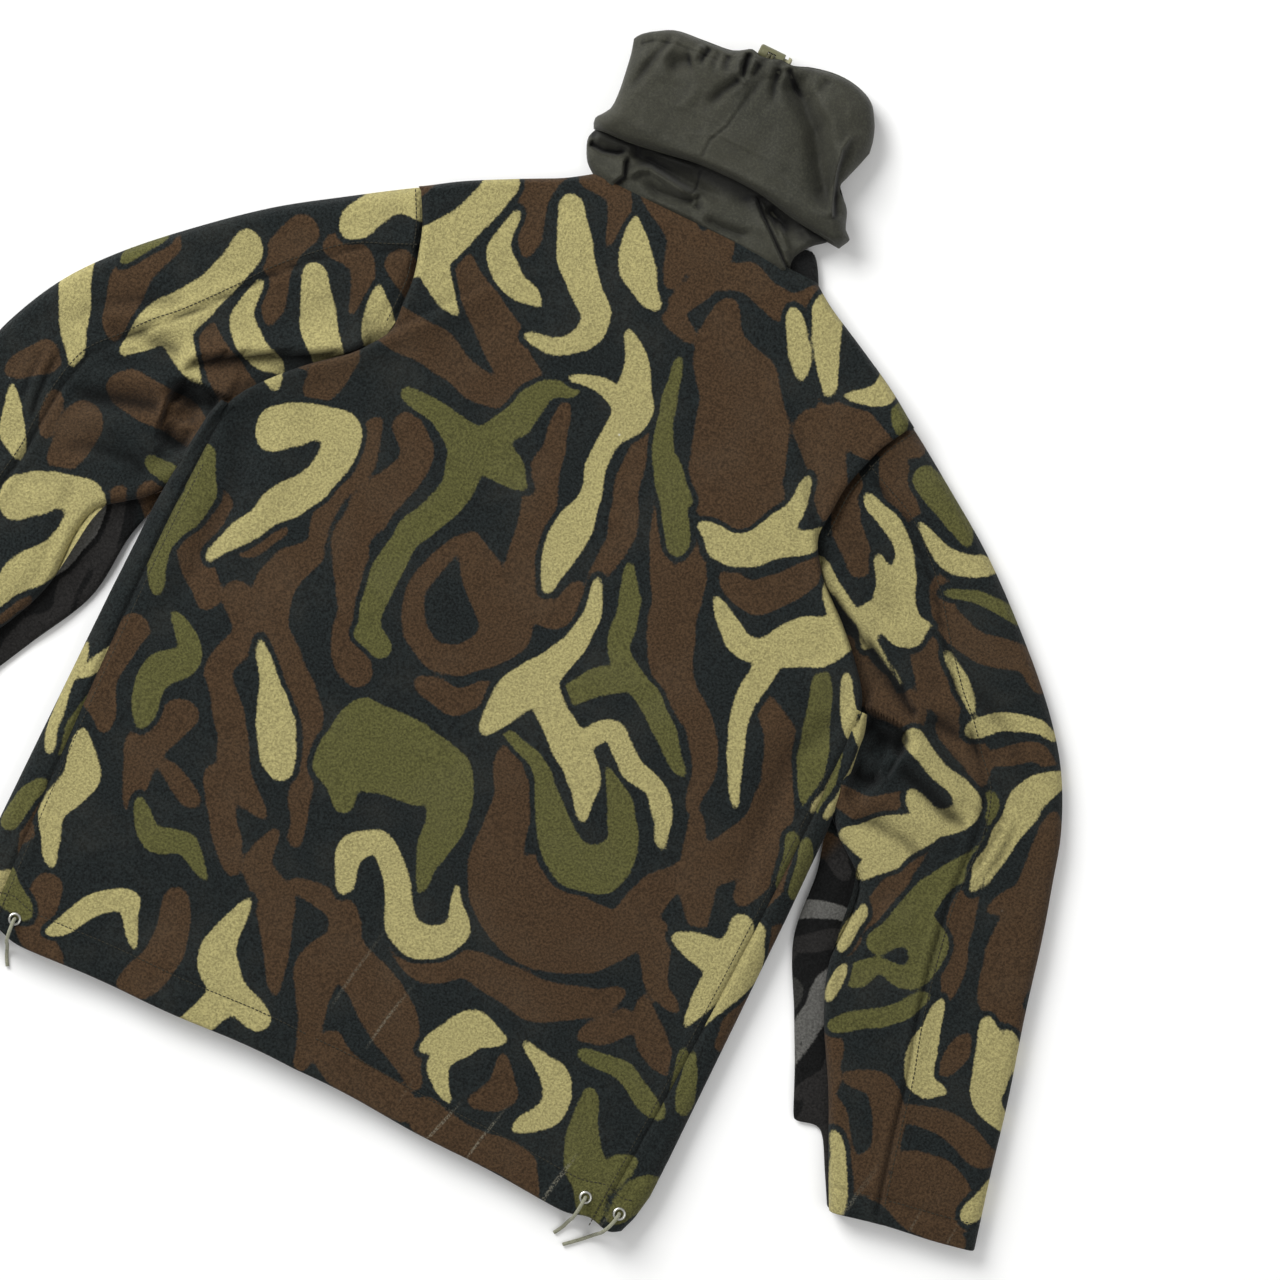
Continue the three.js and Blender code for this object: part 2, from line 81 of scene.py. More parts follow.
# ---------------------------------------------------------------- camera
VIEW_TURN = math.radians(26)  # the garment lies turned in the frame
FRAME_WIDTH = 0.96  # what the frame takes in, across the garment
CAMERA_HEIGHT = 5.0
CAMERA_OVER = (0.0912, 0.0398)  # the place that the camera looks straight down on
SENSOR = 36


def make_camera():
    data = bpy.data.cameras.new("camera")
    data.sensor_width = SENSOR
    data.lens = SENSOR * CAMERA_HEIGHT / FRAME_WIDTH
    data.clip_end = 50
    camera = bpy.data.objects.new("camera", data)
    camera.location = (*CAMERA_OVER, CAMERA_HEIGHT)
    camera.rotation_euler = (0, 0, VIEW_TURN)
    bpy.context.scene.collection.objects.link(camera)
    bpy.context.scene.camera = camera


make_camera()

# ---------------------------------------------------------------- small tools


def lattice(ix, iy, seed):
    """A fixed pseudo-random number from -1 to 1 for each whole-number place."""
    value = np.sin(ix * 127.1 + iy * 311.7 + seed * 74.7) * 43758.5453
    return (value - np.floor(value)) * 2 - 1


def noise(x, y, size, seed=0):
    """Smooth noise from -1 to 1 whose bumps are about size across."""
    gx, gy = np.asarray(x) / size, np.asarray(y) / size
    ix, iy = np.floor(gx), np.floor(gy)
    fx, fy = gx - ix, gy - iy
    fx, fy = fx * fx * (3 - 2 * fx), fy * fy * (3 - 2 * fy)
    low = lattice(ix, iy, seed) * (1 - fx) + lattice(ix + 1, iy, seed) * fx
    high = lattice(ix, iy + 1, seed) * (1 - fx) + lattice(ix + 1, iy + 1, seed) * fx
    return low * (1 - fy) + high * fy


def smooth(low, high, x):
    t = np.clip((np.asarray(x, float) - low) / (high - low), 0, 1)
    return t * t * (3 - 2 * t)


def spline(points, step=None, count=None):
    """A smooth line through the points, as many rows as asked for."""
    p = np.array(points, float)
    ends = np.vstack([2 * p[0] - p[1], p, 2 * p[-1] - p[-2]])
    out = []
    for i in range(len(p) - 1):
        a, b, c, d = ends[i : i + 4]
        pieces = 12 if step is None else max(2, int(np.linalg.norm((c - b)[:2]) / step))
        t = (np.arange(pieces) / pieces)[:, None]
        out.append(0.5 * (2 * b + (c - a) * t + (2 * a - 5 * b + 4 * c - d) * t**2
                          + (3 * b - a - 3 * c + d) * t**3))
    out = np.vstack(out + [p[-1:]])
    if count is None:
        return out
    along = np.concatenate([[0], np.cumsum(np.linalg.norm(np.diff(out, axis=0), axis=1))])
    want = np.linspace(0, along[-1], count)
    return np.stack([np.interp(want, along, out[:, k]) for k in range(out.shape[1])], 1)


def beside(x, y, line):
    """How far places lie from a line, positive to the left of its travel, and how far along it, 0 to 1."""
    line = np.array(line, float)
    lengths = np.linalg.norm(np.diff(line, axis=0), axis=1)
    start = np.concatenate([[0], np.cumsum(lengths)])
    best = np.full(np.shape(x), 1e9)
    along = np.zeros(np.shape(x))
    for i, length in enumerate(lengths):
        a, d = line[i], (line[i + 1] - line[i]) / length
        t = np.clip((x - a[0]) * d[0] + (y - a[1]) * d[1], 0, length)
        px, py = x - a[0] - d[0] * t, y - a[1] - d[1] * t
        distance = np.hypot(px, py)
        closer = distance < np.abs(best)
        side = np.where(d[0] * py - d[1] * px >= 0, 1.0, -1.0)
        best = np.where(closer, distance * side, best)
        along = np.where(closer, (start[i] + t) / start[-1], along)
    return best, along


def taper(along, first, last):
    """Fades a fold in over its first share and out over its last."""
    return smooth(0, max(first, 1e-3), along) * smooth(0, max(last, 1e-3), 1 - along)


def ridge(x, y, line, height, width, first=0.25, last=0.25):
    """A soft ridge, or a soft valley where the height is negative."""
    away, along = beside(x, y, line)
    return height * taper(along, first, last) * np.exp(-((away / width) ** 2))


def overhang(x, y, line, rise, reach, dip, dip_reach, edge=1.6, first=0.2, last=0.1):
    """A fold edge: high on the left of the line, low and shaded on its right."""
    away, along = beside(x, y, line)
    high = rise * np.exp(-np.maximum(away, 0) / reach)
    low = -dip * np.exp(-np.maximum(-away, 0) / dip_reach)
    share = 0.5 + 0.5 * np.tanh(away / edge)
    return taper(along, first, last) * (high * share + low * (1 - share))


def folded(z, x, y, folds):
    """Adds folds to the height z one after another, each given as its kind, its line and its sizes."""
    for kind, line, *sizes in folds:
        z = z + kind(x, y, line, *sizes)
    return z


def mesh_object(name, vertices_mm, faces, material, smooth_faces=True):
    mesh = bpy.data.meshes.new(name)
    mesh.from_pydata((np.asarray(vertices_mm) * MM).tolist(), [], [list(map(int, f)) for f in faces])
    mesh.materials.append(material)
    mesh.update()
    mesh.polygons.foreach_set("use_smooth", [smooth_faces] * len(mesh.polygons))
    obj = bpy.data.objects.new(name, mesh)
    bpy.context.scene.collection.objects.link(obj)
    return obj


def grid_faces(rows, columns, first=0, closed=False):
    """Faces of a grid whose columns run to the left-hand side of its rows, seen from outside."""
    r = np.arange(rows - 1)[:, None]
    c = np.arange(columns if closed else columns - 1)[None, :]
    n = (c + 1) % columns
    quad = [r * columns + c, r * columns + n, (r + 1) * columns + n, (r + 1) * columns + c]
    return np.stack([q.ravel() for q in quad], 1) + first


def set_attribute(obj, name, values):
    attribute = obj.data.attributes.new(name, "FLOAT", "POINT")
    attribute.data.foreach_set("value", np.asarray(values, np.float32).ravel())


def tube(name, points_mm, radius, material, sides=12, closed_ends=True, step=None):
    """A round tube along points, with rounded ends; the radius may be a number or one per point."""
    line = spline(points_mm, step=step) if step else np.array(points_mm, float)
    n = len(line)
    radii = np.full(n, radius, float) if np.isscalar(radius) else np.interp(
        np.linspace(0, 1, n), np.linspace(0, 1, len(radius)), radius)
    tangent = np.gradient(line, axis=0)
    tangent /= np.linalg.norm(tangent, axis=1)[:, None]
    normal = np.cross(tangent[0], [0.3, 0.5, 0.81])
    normal /= np.linalg.norm(normal)
    angles = np.linspace(0, 2 * math.pi, sides, endpoint=False)
    vertices = []
    for i in range(n):
        normal = normal - tangent[i] * normal.dot(tangent[i])
        normal /= np.linalg.norm(normal)
        other = np.cross(tangent[i], normal)
        ring = np.cos(angles)[:, None] * normal + np.sin(angles)[:, None] * other
        vertices.append(line[i] + radii[i] * ring)
    vertices = np.vstack(vertices)
    faces = grid_faces(n, sides, closed=True).tolist()
    if closed_ends:
        faces.append(list(range(sides - 1, -1, -1)))
        faces.append(list(range((n - 1) * sides, n * sides)))
    return mesh_object(name, vertices, faces, material)


def joined(name, objects):
    bpy.ops.object.select_all(action="DESELECT")
    for obj in objects:
        obj.select_set(True)
    bpy.context.view_layer.objects.active = objects[0]
    bpy.ops.object.join()
    objects[0].name = name
    return objects[0]


# ---------------------------------------------------------------- materials


class Nodes:
    """Short calls for a material's node tree."""

    def __init__(self, name):
        self.material = bpy.data.materials.new(name)
        self.material.use_nodes = True
        self.tree = self.material.node_tree
        self.shader = self.tree.nodes["Principled BSDF"]

    def new(self, kind, **settings):
        node = self.tree.nodes.new(kind)
        for key, value in settings.items():
            setattr(node, key, value)
        return node

    def link(self, source, target):
        self.tree.links.new(source, target)

    def feed(self, target, value):
        if isinstance(value, (int, float, tuple)):
            target.default_value = value
        else:
            self.link(value, target)

    def math(self, operation, a, b=0.0, clamp=False):
        node = self.new("ShaderNodeMath", operation=operation, use_clamp=clamp)
        self.feed(node.inputs[0], a)
        self.feed(node.inputs[1], b)
        return node.outputs[0]

    def step(self, value, low, high, to_low=0.0, to_high=1.0):
        node = self.new("ShaderNodeMapRange", interpolation_type="SMOOTHSTEP")
        self.feed(node.inputs["Value"], value)
        node.inputs["From Min"].default_value = low
        node.inputs["From Max"].default_value = high
        node.inputs["To Min"].default_value = to_low
        node.inputs["To Max"].default_value = to_high
        return node.outputs[0]

    def noise(self, scale, detail=2.0, rough=0.5, stretch=None):
        vector = self.place(stretch)
        node = self.new("ShaderNodeTexNoise")
        node.inputs["Scale"].default_value = scale
        node.inputs["Detail"].default_value = detail
        node.inputs["Roughness"].default_value = rough
        self.link(vector, node.inputs["Vector"])
        return node.outputs["Fac"]

    def place(self, stretch=None, turn=None):
        coordinates = self.new("ShaderNodeTexCoord").outputs["Object"]
        if stretch is None and turn is None:
            return coordinates
        mapping = self.new("ShaderNodeMapping")
        mapping.inputs["Scale"].default_value = stretch or (1, 1, 1)
        mapping.inputs["Rotation"].default_value = turn or (0, 0, 0)
        self.link(coordinates, mapping.inputs["Vector"])
        return mapping.outputs[0]

    def wave(self, scale, stretch=None, turn=None, direction="X", distort=0.0):
        node = self.new("ShaderNodeTexWave", bands_direction=direction)
        node.inputs["Scale"].default_value = scale
        node.inputs["Distortion"].default_value = distort
        self.link(self.place(stretch, turn), node.inputs["Vector"])
        return node.outputs["Fac"]

    def attribute(self, name):
        return self.new("ShaderNodeAttribute", attribute_name=name).outputs["Fac"]

    def mix(self, share, a, b, blend="MIX"):
        node = self.new("ShaderNodeMix", data_type="RGBA", blend_type=blend)
        self.feed(node.inputs["Factor"], share)
        self.feed(node.inputs["A"], a)
        self.feed(node.inputs["B"], b)
        return node.outputs["Result"]

    def bump(self, height, strength, distance, under=None):
        node = self.new("ShaderNodeBump")
        node.inputs["Strength"].default_value = strength
        node.inputs["Distance"].default_value = distance
        self.feed(node.inputs["Height"], height)
        if under is not None:
            self.link(under, node.inputs["Normal"])
        return node.outputs[0]

    def finish(self, color, rough, normal=None, metallic=0.0, sheen=0.0, sheen_rough=0.5, specular=0.5):
        s = self.shader.inputs
        self.feed(s["Base Color"], color)
        self.feed(s["Roughness"], rough)
        s["Metallic"].default_value = metallic
        s["Sheen Weight"].default_value = sheen
        s["Sheen Roughness"].default_value = sheen_rough
        s["Specular IOR Level"].default_value = specular
        if normal is not None:
            self.link(normal, s["Normal"])
        return self.material


def rgb(r, g, b):
    """A colour as seen on a screen, 0 to 255, turned into the linear values that a shader takes."""

    def linear(c):
        c = c / 255
        return c / 12.92 if c <= 0.04045 else ((c + 0.055) / 1.055) ** 2.4

    return (linear(r), linear(g), linear(b), 1.0)


GROUND = rgb(25, 30, 30)
BROWN = rgb(68, 51, 34)
GREEN = rgb(86, 85, 47)
KHAKI = rgb(166, 157, 106)


def fleece_surface(n):
    """The brushed pile: short tufts and a finer fuzz. Returns its speckle, broad patches and its normal."""
    tufts = n.noise(560, 3.0, 0.65)
    fuzz = n.noise(1900, 2.0, 0.7)
    patches = n.noise(26, 3.0, 0.55)
    normal = n.bump(tufts, 0.8, 0.0022)
    normal = n.bump(fuzz, 0.5, 0.0008, normal)
    speckle = n.math("ADD", n.math("MULTIPLY", tufts, 0.7), n.math("MULTIPLY", fuzz, 0.3))
    return speckle, patches, normal


def camo_fleece_material():
    n = Nodes("camo_fleece")
    speckle, patches, normal = fleece_surface(n)
    fray = n.math("MULTIPLY", n.math("SUBTRACT", n.noise(460, 3.0, 0.65), 0.5), 3.2)

    def inside(name, soft=0.8):
        return n.step(n.math("ADD", n.attribute(name), fray), -soft, soft)

    def tone(colour, dark, light):
        low = tuple(c * dark for c in colour[:3]) + (1.0,)
        high = tuple(min(1.0, c * light) for c in colour[:3]) + (1.0,)
        return n.mix(n.step(speckle, 0.36, 0.64), low, high)

    colour = n.mix(inside("brown"), tone(GROUND, 0.4, 1.75), tone(BROWN, 0.58, 1.5))
    colour = n.mix(inside("green"), colour, tone(GREEN, 0.62, 1.4))
    colour = n.mix(inside("khaki"), colour, tone(KHAKI, 0.7, 1.28))
    # rubbed and slightly faded patches, and the nap lying two ways
    colour = n.mix(n.step(patches, 0.4, 0.8, 0.0, 0.06), colour, rgb(110, 104, 90))
    # faint rubbed scratches low on the back
    scratch = n.wave(9, stretch=(1.0, 0.25, 1.0), turn=(0, 0, 0.5), distort=7.0)
    scratch = n.math("MULTIPLY", n.step(scratch, 0.985, 1.0), n.step(n.noise(7, 1.0), 0.56, 0.66))
    low_down = n.new("ShaderNodeSeparateXYZ")
    n.link(n.place(), low_down.inputs[0])
    scratch = n.math("MULTIPLY", scratch, n.step(low_down.outputs["Y"], -0.31, -0.22, 0.45, 0.0))
    scratch = n.math("MULTIPLY", scratch, n.step(n.noise(900, 2.0), 0.4, 0.6))
    colour = n.mix(scratch, colour, rgb(150, 146, 128))
    # lint caught in the pile
    dots = n.new("ShaderNodeTexVoronoi", feature="F1", distance="EUCLIDEAN")
    dots.inputs["Scale"].default_value = 22
    dots.inputs["Randomness"].default_value = 1.0
    n.link(n.place(), dots.inputs["Vector"])
    lint = n.math("MULTIPLY", n.step(dots.outputs["Distance"], 0.012, 0.03, 1.0, 0.0),
                  n.step(n.noise(9, 1.0), 0.52, 0.6))
    colour = n.mix(n.math("MULTIPLY", lint, 0.7), colour, rgb(205, 205, 198))
    # the hidden side of a sleeve, seen in deep shade, and the folded-under edges
    shade = n.attribute("shade")
    grey = n.new("ShaderNodeHueSaturation")
    grey.inputs["Saturation"].default_value = 0.15
    grey.inputs["Value"].default_value = 0.3
    n.link(colour, grey.inputs["Color"])
    colour = n.mix(shade, colour, grey.outputs[0])
    # painted shade: the cloth darkens nearly to black in its creases and beside the armpit fold
    colour = n.mix(n.math("MULTIPLY", n.attribute("crease_shade"), 0.8), colour, rgb(5, 6, 6))
    rough = n.step(speckle, 0.3, 0.7, 0.98, 0.86)
    return n.finish(colour, rough, normal, sheen=0.05, sheen_rough=0.5, specular=0.15)


def lining_material():
    n = Nodes("black_fleece")
    speckle, patches, normal = fleece_surface(n)
    colour = n.mix(n.step(speckle, 0.3, 0.7), rgb(9, 10, 10), rgb(30, 31, 31))
    return n.finish(colour, n.step(patches, 0.3, 0.7, 0.95, 0.85), normal, sheen=0.1, specular=0.2)


def nylon_material():
    n = Nodes("olive_nylon")
    threads = n.math("ADD", n.wave(620, turn=(0, 0, 0.78)), n.wave(620, turn=(0, 0, -0.78)))
    twill = n.wave(430, turn=(0, 0, 0.5), distort=0.4)
    crinkle = n.noise(70, 4.0, 0.55)
    broad = n.noise(16, 3.0, 0.5)
    normal = n.bump(crinkle, 0.22, 0.0022)
    normal = n.bump(n.noise(1100, 2.0, 0.6), 0.6, 0.0008, normal)
    normal = n.bump(threads, 0.3, 0.0003, normal)
    normal = n.bump(twill, 0.14, 0.0002, normal)
    colour = n.mix(n.step(broad, 0.3, 0.7), rgb(34, 34, 26), rgb(46, 45, 35))
    colour = n.mix(n.step(n.noise(560, 3.0, 0.7), 0.42, 0.66, 0.0, 0.5), colour, rgb(68, 68, 55))
    colour = n.mix(n.step(n.noise(620, 2.0, 0.6), 0.52, 0.72, 0.0, 0.45), colour, rgb(20, 20, 15))
    colour = n.mix(n.step(threads, 0.3, 1.7, 0.0, 0.3), colour, rgb(74, 75, 65))
    rub = n.step(n.noise(140, 4.0, 0.7), 0.58, 0.78, 0.0, 0.1)
    colour = n.mix(rub, colour, rgb(96, 97, 86))
    # painted shade: the nylon darkens nearly to black in its creases and under the rolled lip
    colour = n.mix(n.math("MULTIPLY", n.attribute("crease_shade"), 0.97), colour, rgb(5, 5, 4))
    rough = n.step(crinkle, 0.3, 0.7, 0.72, 0.58)
    return n.finish(colour, rough, normal, sheen=0.06, specular=0.28)


def cord_material(name, light, dark, braid=1400):
    n = Nodes(name)
    one = n.wave(braid, turn=(0.6, 0.4, 0.9))
    two = n.wave(braid, turn=(-0.6, 0.4, -0.9))
    weave = n.math("MAXIMUM", one, two)
    normal = n.bump(weave, 0.6, 0.0003)
    colour = n.mix(n.step(weave, 0.35, 0.9), dark, light)
    colour = n.mix(n.step(n.noise(240, 3.0), 0.5, 0.75, 0.0, 0.35), colour, dark)
    return n.finish(colour, n.step(weave, 0.3, 0.9, 0.9, 0.72), normal, sheen=0.1, specular=0.3)


def metal_material(name, light, dark, rough):
    n = Nodes(name)
    grime = n.noise(900, 4.0, 0.6)
    scratches = n.noise(500, 2.0, 0.5, stretch=(1, 9, 1))
    colour = n.mix(n.step(grime, 0.5, 0.75, 0.0, 0.6), light, dark)
    normal = n.bump(scratches, 0.12, 0.0002)
    return n.finish(colour, n.step(grime, 0.3, 0.8, rough, rough + 0.25), normal, metallic=1.0)


def plastic_material(name, colour, worn):
    n = Nodes(name)
    grain = n.noise(1500, 2.0, 0.6)
    marks = n.noise(300, 4.0, 0.7)
    base = n.mix(n.step(marks, 0.55, 0.8, 0.0, 0.5), colour, worn)
    normal = n.bump(grain, 0.2, 0.0002)
    return n.finish(base, n.step(marks, 0.3, 0.8, 0.42, 0.6), normal, specular=0.5)


def thread_material():
    n = Nodes("thread")
    twist = n.wave(2600, turn=(0.3, 0.2, 0.8))
    colour = n.mix(n.step(twist, 0.2, 0.8), rgb(26, 26, 20), rgb(58, 54, 40))
    return n.finish(colour, 0.75, n.bump(twist, 0.4, 0.0001), specular=0.35)


CAMO = camo_fleece_material()
LINING = lining_material()
NYLON = nylon_material()
THREAD = thread_material()
CORD = cord_material("grey_green_cord", rgb(170, 170, 148), rgb(104, 104, 84))
ELASTIC = cord_material("olive_elastic", rgb(96, 92, 62), rgb(44, 44, 34))
STEEL = metal_material("eyelet_nickel", rgb(205, 205, 198), rgb(118, 116, 108), 0.24)
SPRING = metal_material("spring_steel", rgb(190, 190, 190), rgb(120, 120, 120), 0.2)
LOCK = plastic_material("olive_plastic", rgb(98, 97, 68), rgb(140, 138, 108))
BUTTON = plastic_material("beige_plastic", rgb(150, 147, 116), rgb(184, 180, 152))

# ---------------------------------------------------------------- printed pattern
# Each mark is a brush stroke: points of (x, y, half width) in millimetres on the garment as it lies.
BODY_KHAKI = [
    [(45, 62, 3), (50, 32, 7), (42, 0, 11), (28, -34, 14), (20, -66, 7)],
    [(36, -22, 10), (66, -44, 13), (92, -66, 12), (108, -96, 4)],
    [(80, -52, 8), (102, -30, 7), (128, -50, 9), (150, -58, 8), (170, -88, 3)],
    [(-14, 240, 4), (2, 214, 11), (12, 190, 15), (6, 158, 7), (10, 118, 9), (8, 86, 15), (10, 48, 5)],
    [(4, 192, 6), (-18, 198, 6), (-40, 194, 3)],
    [(-28, -220, 6), (-33, -196, 9), (-14, -180, 9), (4, -196, 9), (22, -226, 11), (46, -234, 12),
     (62, -216, 9), (52, -190, 3)],
    [(-162, -86, 2), (-144, -110, 8), (-122, -142, 15), (-106, -162, 8)],
    [(84, -300, 6), (106, -276, 13), (128, -274, 5)],
    [(104, -286, 9), (96, -312, 8), (112, -330, 4)],
    [(152, -268, 3), (176, -280, 10), (184, -302, 10), (168, -324, 5)],
    [(262, -150, 14), (236, -148, 11), (218, -148, 5)],
    [(254, -122, 9), (258, -152, 14), (250, -200, 4)],
    [(-88, -270, 4), (-90, -300, 12), (-70, -330, 14), (-40, -338, 8)],
    [(-70, -340, 12), (-84, -372, 12)],
    [(150, 196, 4), (148, 172, 8), (142, 142, 13), (122, 128, 12), (98, 134, 5)],
    [(142, 142, 12), (166, 160, 10), (176, 172, 5)],
    [(134, 88, 4), (152, 74, 8), (176, 72, 9), (208, 92, 18), (226, 112, 12), (200, 138, 5)],
    [(186, 68, 9), (184, 34, 7), (192, 2, 6), (206, -36, 3)],
    [(-220, 62, 16), (-194, 82, 13), (-172, 76, 13), (-178, 40, 12), (-196, 10, 12), (-214, -24, 7),
     (-224, -44, 3)],
    [(-150, 306, 12), (-162, 268, 12), (-178, 232, 17), (-196, 202, 6)],
    [(-172, 226, 12), (-154, 208, 8), (-140, 198, 3)],
    [(-96, 306, 9), (-84, 284, 13), (-62, 262, 12), (-42, 240, 10), (-58, 214, 6), (-84, 208, 3)],
    [(-132, 286, 3), (-132, 258, 8), (-114, 240, 10), (-92, 234, 5)],
    [(-46, 316, 5), (-34, 294, 12), (-18, 276, 7), (-8, 268, 3)],
    [(90, 306, 6), (102, 288, 8), (112, 270, 4)],
    [(112, 322, 12), (122, 296, 9), (134, 272, 6)],
    [(176, 300, 10), (172, 282, 8), (152, 272, 3)],
    [(244, 78, 4), (254, 62, 6), (262, 46, 4)],
    [(272, 64, 4), (272, 30, 5), (266, -14, 3)],
    [(-262, 236, 14), (-244, 202, 10), (-232, 176, 4)],
    [(-250, -210, 6), (-238, -236, 12), (-246, -270, 9), (-232, -296, 4)],
    [(-150, -330, 3), (-168, -306, 8), (-190, -318, 9), (-204, -344, 5)],
    [(-262, 130, 4), (-250, 106, 9), (-238, 92, 5)],
]
BODY_GREEN = [
    [(-140, 128, 5), (-112, 124, 9), (-86, 108, 15), (-84, 70, 9), (-98, 36, 10), (-100, 0, 11),
     (-98, -30, 8), (-90, -46, 8)],
    [(-84, 112, 12), (-64, 142, 10), (-56, 176, 7), (-38, 184, 4)],
    [(-78, 110, 12), (-54, 112, 12), (-42, 108, 6)],
    [(-94, -44, 10), (-80, -50, 9)],
    [(-66, -110, 18), (-72, -142, 16), (-54, -166, 8)],
    [(-64, -108, 16), (-30, -104, 16), (6, -114, 15), (18, -140, 14), (22, -172, 9), (26, -198, 3)],
    [(-46, -132, 20), (-12, -130, 16)],
    [(28, 240, 3), (36, 206, 5), (48, 172, 7), (66, 146, 8), (84, 116, 8)],
    [(54, 170, 5), (74, 150, 4)],
    [(34, -70, 3), (62, -76, 5), (86, -104, 9), (114, -130, 15), (140, -126, 15), (148, -104, 10),
     (128, -78, 8), (112, -62, 3)],
    [(60, 80, 3), (74, 54, 8), (80, 28, 9), (102, 8, 9), (134, -10, 8), (160, -34, 3)],
    [(60, -22, 5), (80, -2, 9), (96, 6, 7)],
    [(194, -256, 4), (222, -254, 7), (248, -270, 7)],
    [(206, -284, 5), (216, -312, 11), (236, -340, 12), (250, -318, 6)],
    [(236, -340, 12), (246, -368, 6)],
    [(228, 68, 6), (238, 36, 9), (250, 8, 9), (258, -12, 4)],
    [(196, 270, 5), (190, 286, 7)],
    [(274, -330, 14), (262, -350, 6)],
    [(264, -50, 6), (270, -74, 8)],
    [(258, -226, 4), (268, -256, 6)],
    [(-226, -100, 5), (-206, -118, 10), (-222, -146, 12), (-214, -176, 5)],
    [(-262, 20, 9), (-250, -10, 10), (-262, -52, 8), (-250, -84, 4)],
    [(-126, -262, 3), (-146, -246, 8), (-170, -252, 9), (-188, -236, 4)],
    [(-230, 320, 6), (-216, 292, 10), (-226, 262, 5)],
    [(-262, -330, 12), (-236, -344, 7)],
]
BODY_BROWN = [
    [(40, 286, 8), (52, 262, 18), (82, 236, 28), (96, 200, 32), (104, 166, 26), (124, 178, 12)],
    [(24, 306, 5), (46, 316, 9), (82, 312, 9), (96, 326, 6)],
    [(12, 330, 12), (14, 300, 8), (4, 270, 6), (22, 262, 3)],
    [(-40, 345, 10), (-12, 326, 9), (-8, 296, 5)],
    [(-118, 334, 10), (-126, 300, 10), (-112, 268, 5)],
    [(-90, 336, 8), (-66, 330, 7), (-60, 300, 2)],
    [(-152, 232, 9), (-124, 212, 12), (-92, 190, 14), (-70, 178, 12)],
    [(-186, 172, 12), (-146, 168, 12), (-106, 158, 9), (-72, 160, 10)],
    [(-204, 136, 12), (-206, 104, 8)],
    [(-208, 282, 10), (-218, 250, 12), (-212, 212, 8)],
    [(-246, 310, 10), (-252, 272, 8)],
    [(-36, 166, 4), (-30, 130, 8), (-22, 92, 9), (-18, 60, 8), (0, 34, 9), (24, 26, 8), (31, 50, 4)],
    [(30, 172, 4), (34, 140, 7), (44, 104, 7), (42, 66, 3)],
    [(-52, 50, 6), (-34, 32, 13), (-6, 6, 17), (-12, -22, 12), (-38, -38, 8), (-62, -28, 6), (-72, -2, 5),
     (-68, 28, 4), (-62, 50, 2)],
    [(-38, -62, 6), (-10, -62, 8), (6, -46, 3)],
    [(-134, 106, 9), (-118, 84, 10), (-128, 50, 12), (-134, 14, 10), (-112, -26, 9), (-102, -60, 12),
     (-86, -76, 8)],
    [(-156, 92, 5), (-154, 60, 8), (-162, 30, 6), (-152, -8, 3)],
    [(-156, -8, 8), (-170, -38, 14), (-162, -70, 12), (-134, -94, 9), (-108, -112, 7), (-94, -150, 5),
     (-76, -206, 3)],
    [(-196, -60, 8), (-174, -84, 9), (-180, -118, 8), (-158, -150, 9), (-132, -184, 9), (-108, -196, 3)],
    [(96, 122, 6), (106, 92, 10), (112, 56, 13), (128, 20, 11), (158, 4, 9), (176, -22, 8), (178, -54, 3)],
    [(62, 142, 4), (74, 108, 7), (92, 78, 7), (106, 52, 9)],
    [(132, 108, 4), (156, 104, 10), (176, 126, 10), (184, 150, 4)],
    [(140, 238, 14), (160, 212, 12), (172, 190, 5)],
    [(144, 262, 10), (170, 250, 14), (196, 246, 8)],
    [(42, -88, 9), (60, -118, 14), (68, -156, 18), (98, -182, 26), (140, -182, 28), (174, -162, 16),
     (184, -122, 12), (192, -100, 4)],
    [(98, -146, 6), (122, -156, 14)],
    [(30, -244, 3), (58, -254, 7), (82, -234, 9), (112, -234, 11), (146, -236, 13), (176, -222, 8),
     (190, -208, 4)],
    [(-58, -240, 3), (-22, -240, 8), (-2, -262, 12), (28, -282, 16), (54, -300, 15), (82, -328, 6)],
    [(-8, -262, 10), (-14, -292, 14), (-4, -326, 6), (0, -352, 4)],
    [(18, -336, 12), (52, -352, 14), (80, -352, 10)],
    [(104, -352, 12), (140, -354, 12), (176, -352, 12), (196, -362, 7)],
    [(132, -322, 3), (146, -308, 9), (140, -290, 4)],
    [(-92, -214, 4), (-92, -240, 8), (-70, -258, 12), (-50, -286, 8), (-40, -312, 3)],
    [(-146, -190, 9), (-126, -222, 8), (-110, -246, 4)],
    [(196, 40, 4), (216, 24, 8), (232, -12, 12), (234, -56, 16), (214, -88, 14), (194, -80, 5)],
    [(188, -66, 5), (208, -102, 11), (222, -128, 6)],
    [(200, -156, 10), (214, -184, 7), (232, -196, 3)],
    [(246, -30, 6), (250, -66, 8), (246, -98, 6)],
    [(206, -222, 8), (190, -240, 6)],
    [(272, -120, 7), (272, -160, 7), (274, -200, 5)],
    [(-238, -6, 9), (-236, -46, 12), (-216, -70, 8)],
    [(-186, -6, 4), (-200, -24, 4)],
    [(-252, -120, 9), (-262, -160, 12), (-244, -186, 6)],
    [(-192, -160, 9), (-206, -200, 12), (-196, -232, 6)],
    [(-160, -214, 5), (-182, -204, 4)],
    [(-226, -316, 8), (-222, -350, 12), (-200, -368, 6)],
    [(-134, -290, 8), (-124, -322, 12), (-136, -356, 10)],
    [(-262, -286, 8), (-270, -306, 6)],
    [(-250, 168, 9), (-266, 150, 7)],
    [(-230, 140, 5), (-226, 118, 4)],
    [(216, -206, 3), (232, -226, 8), (252, -236, 4)],
]
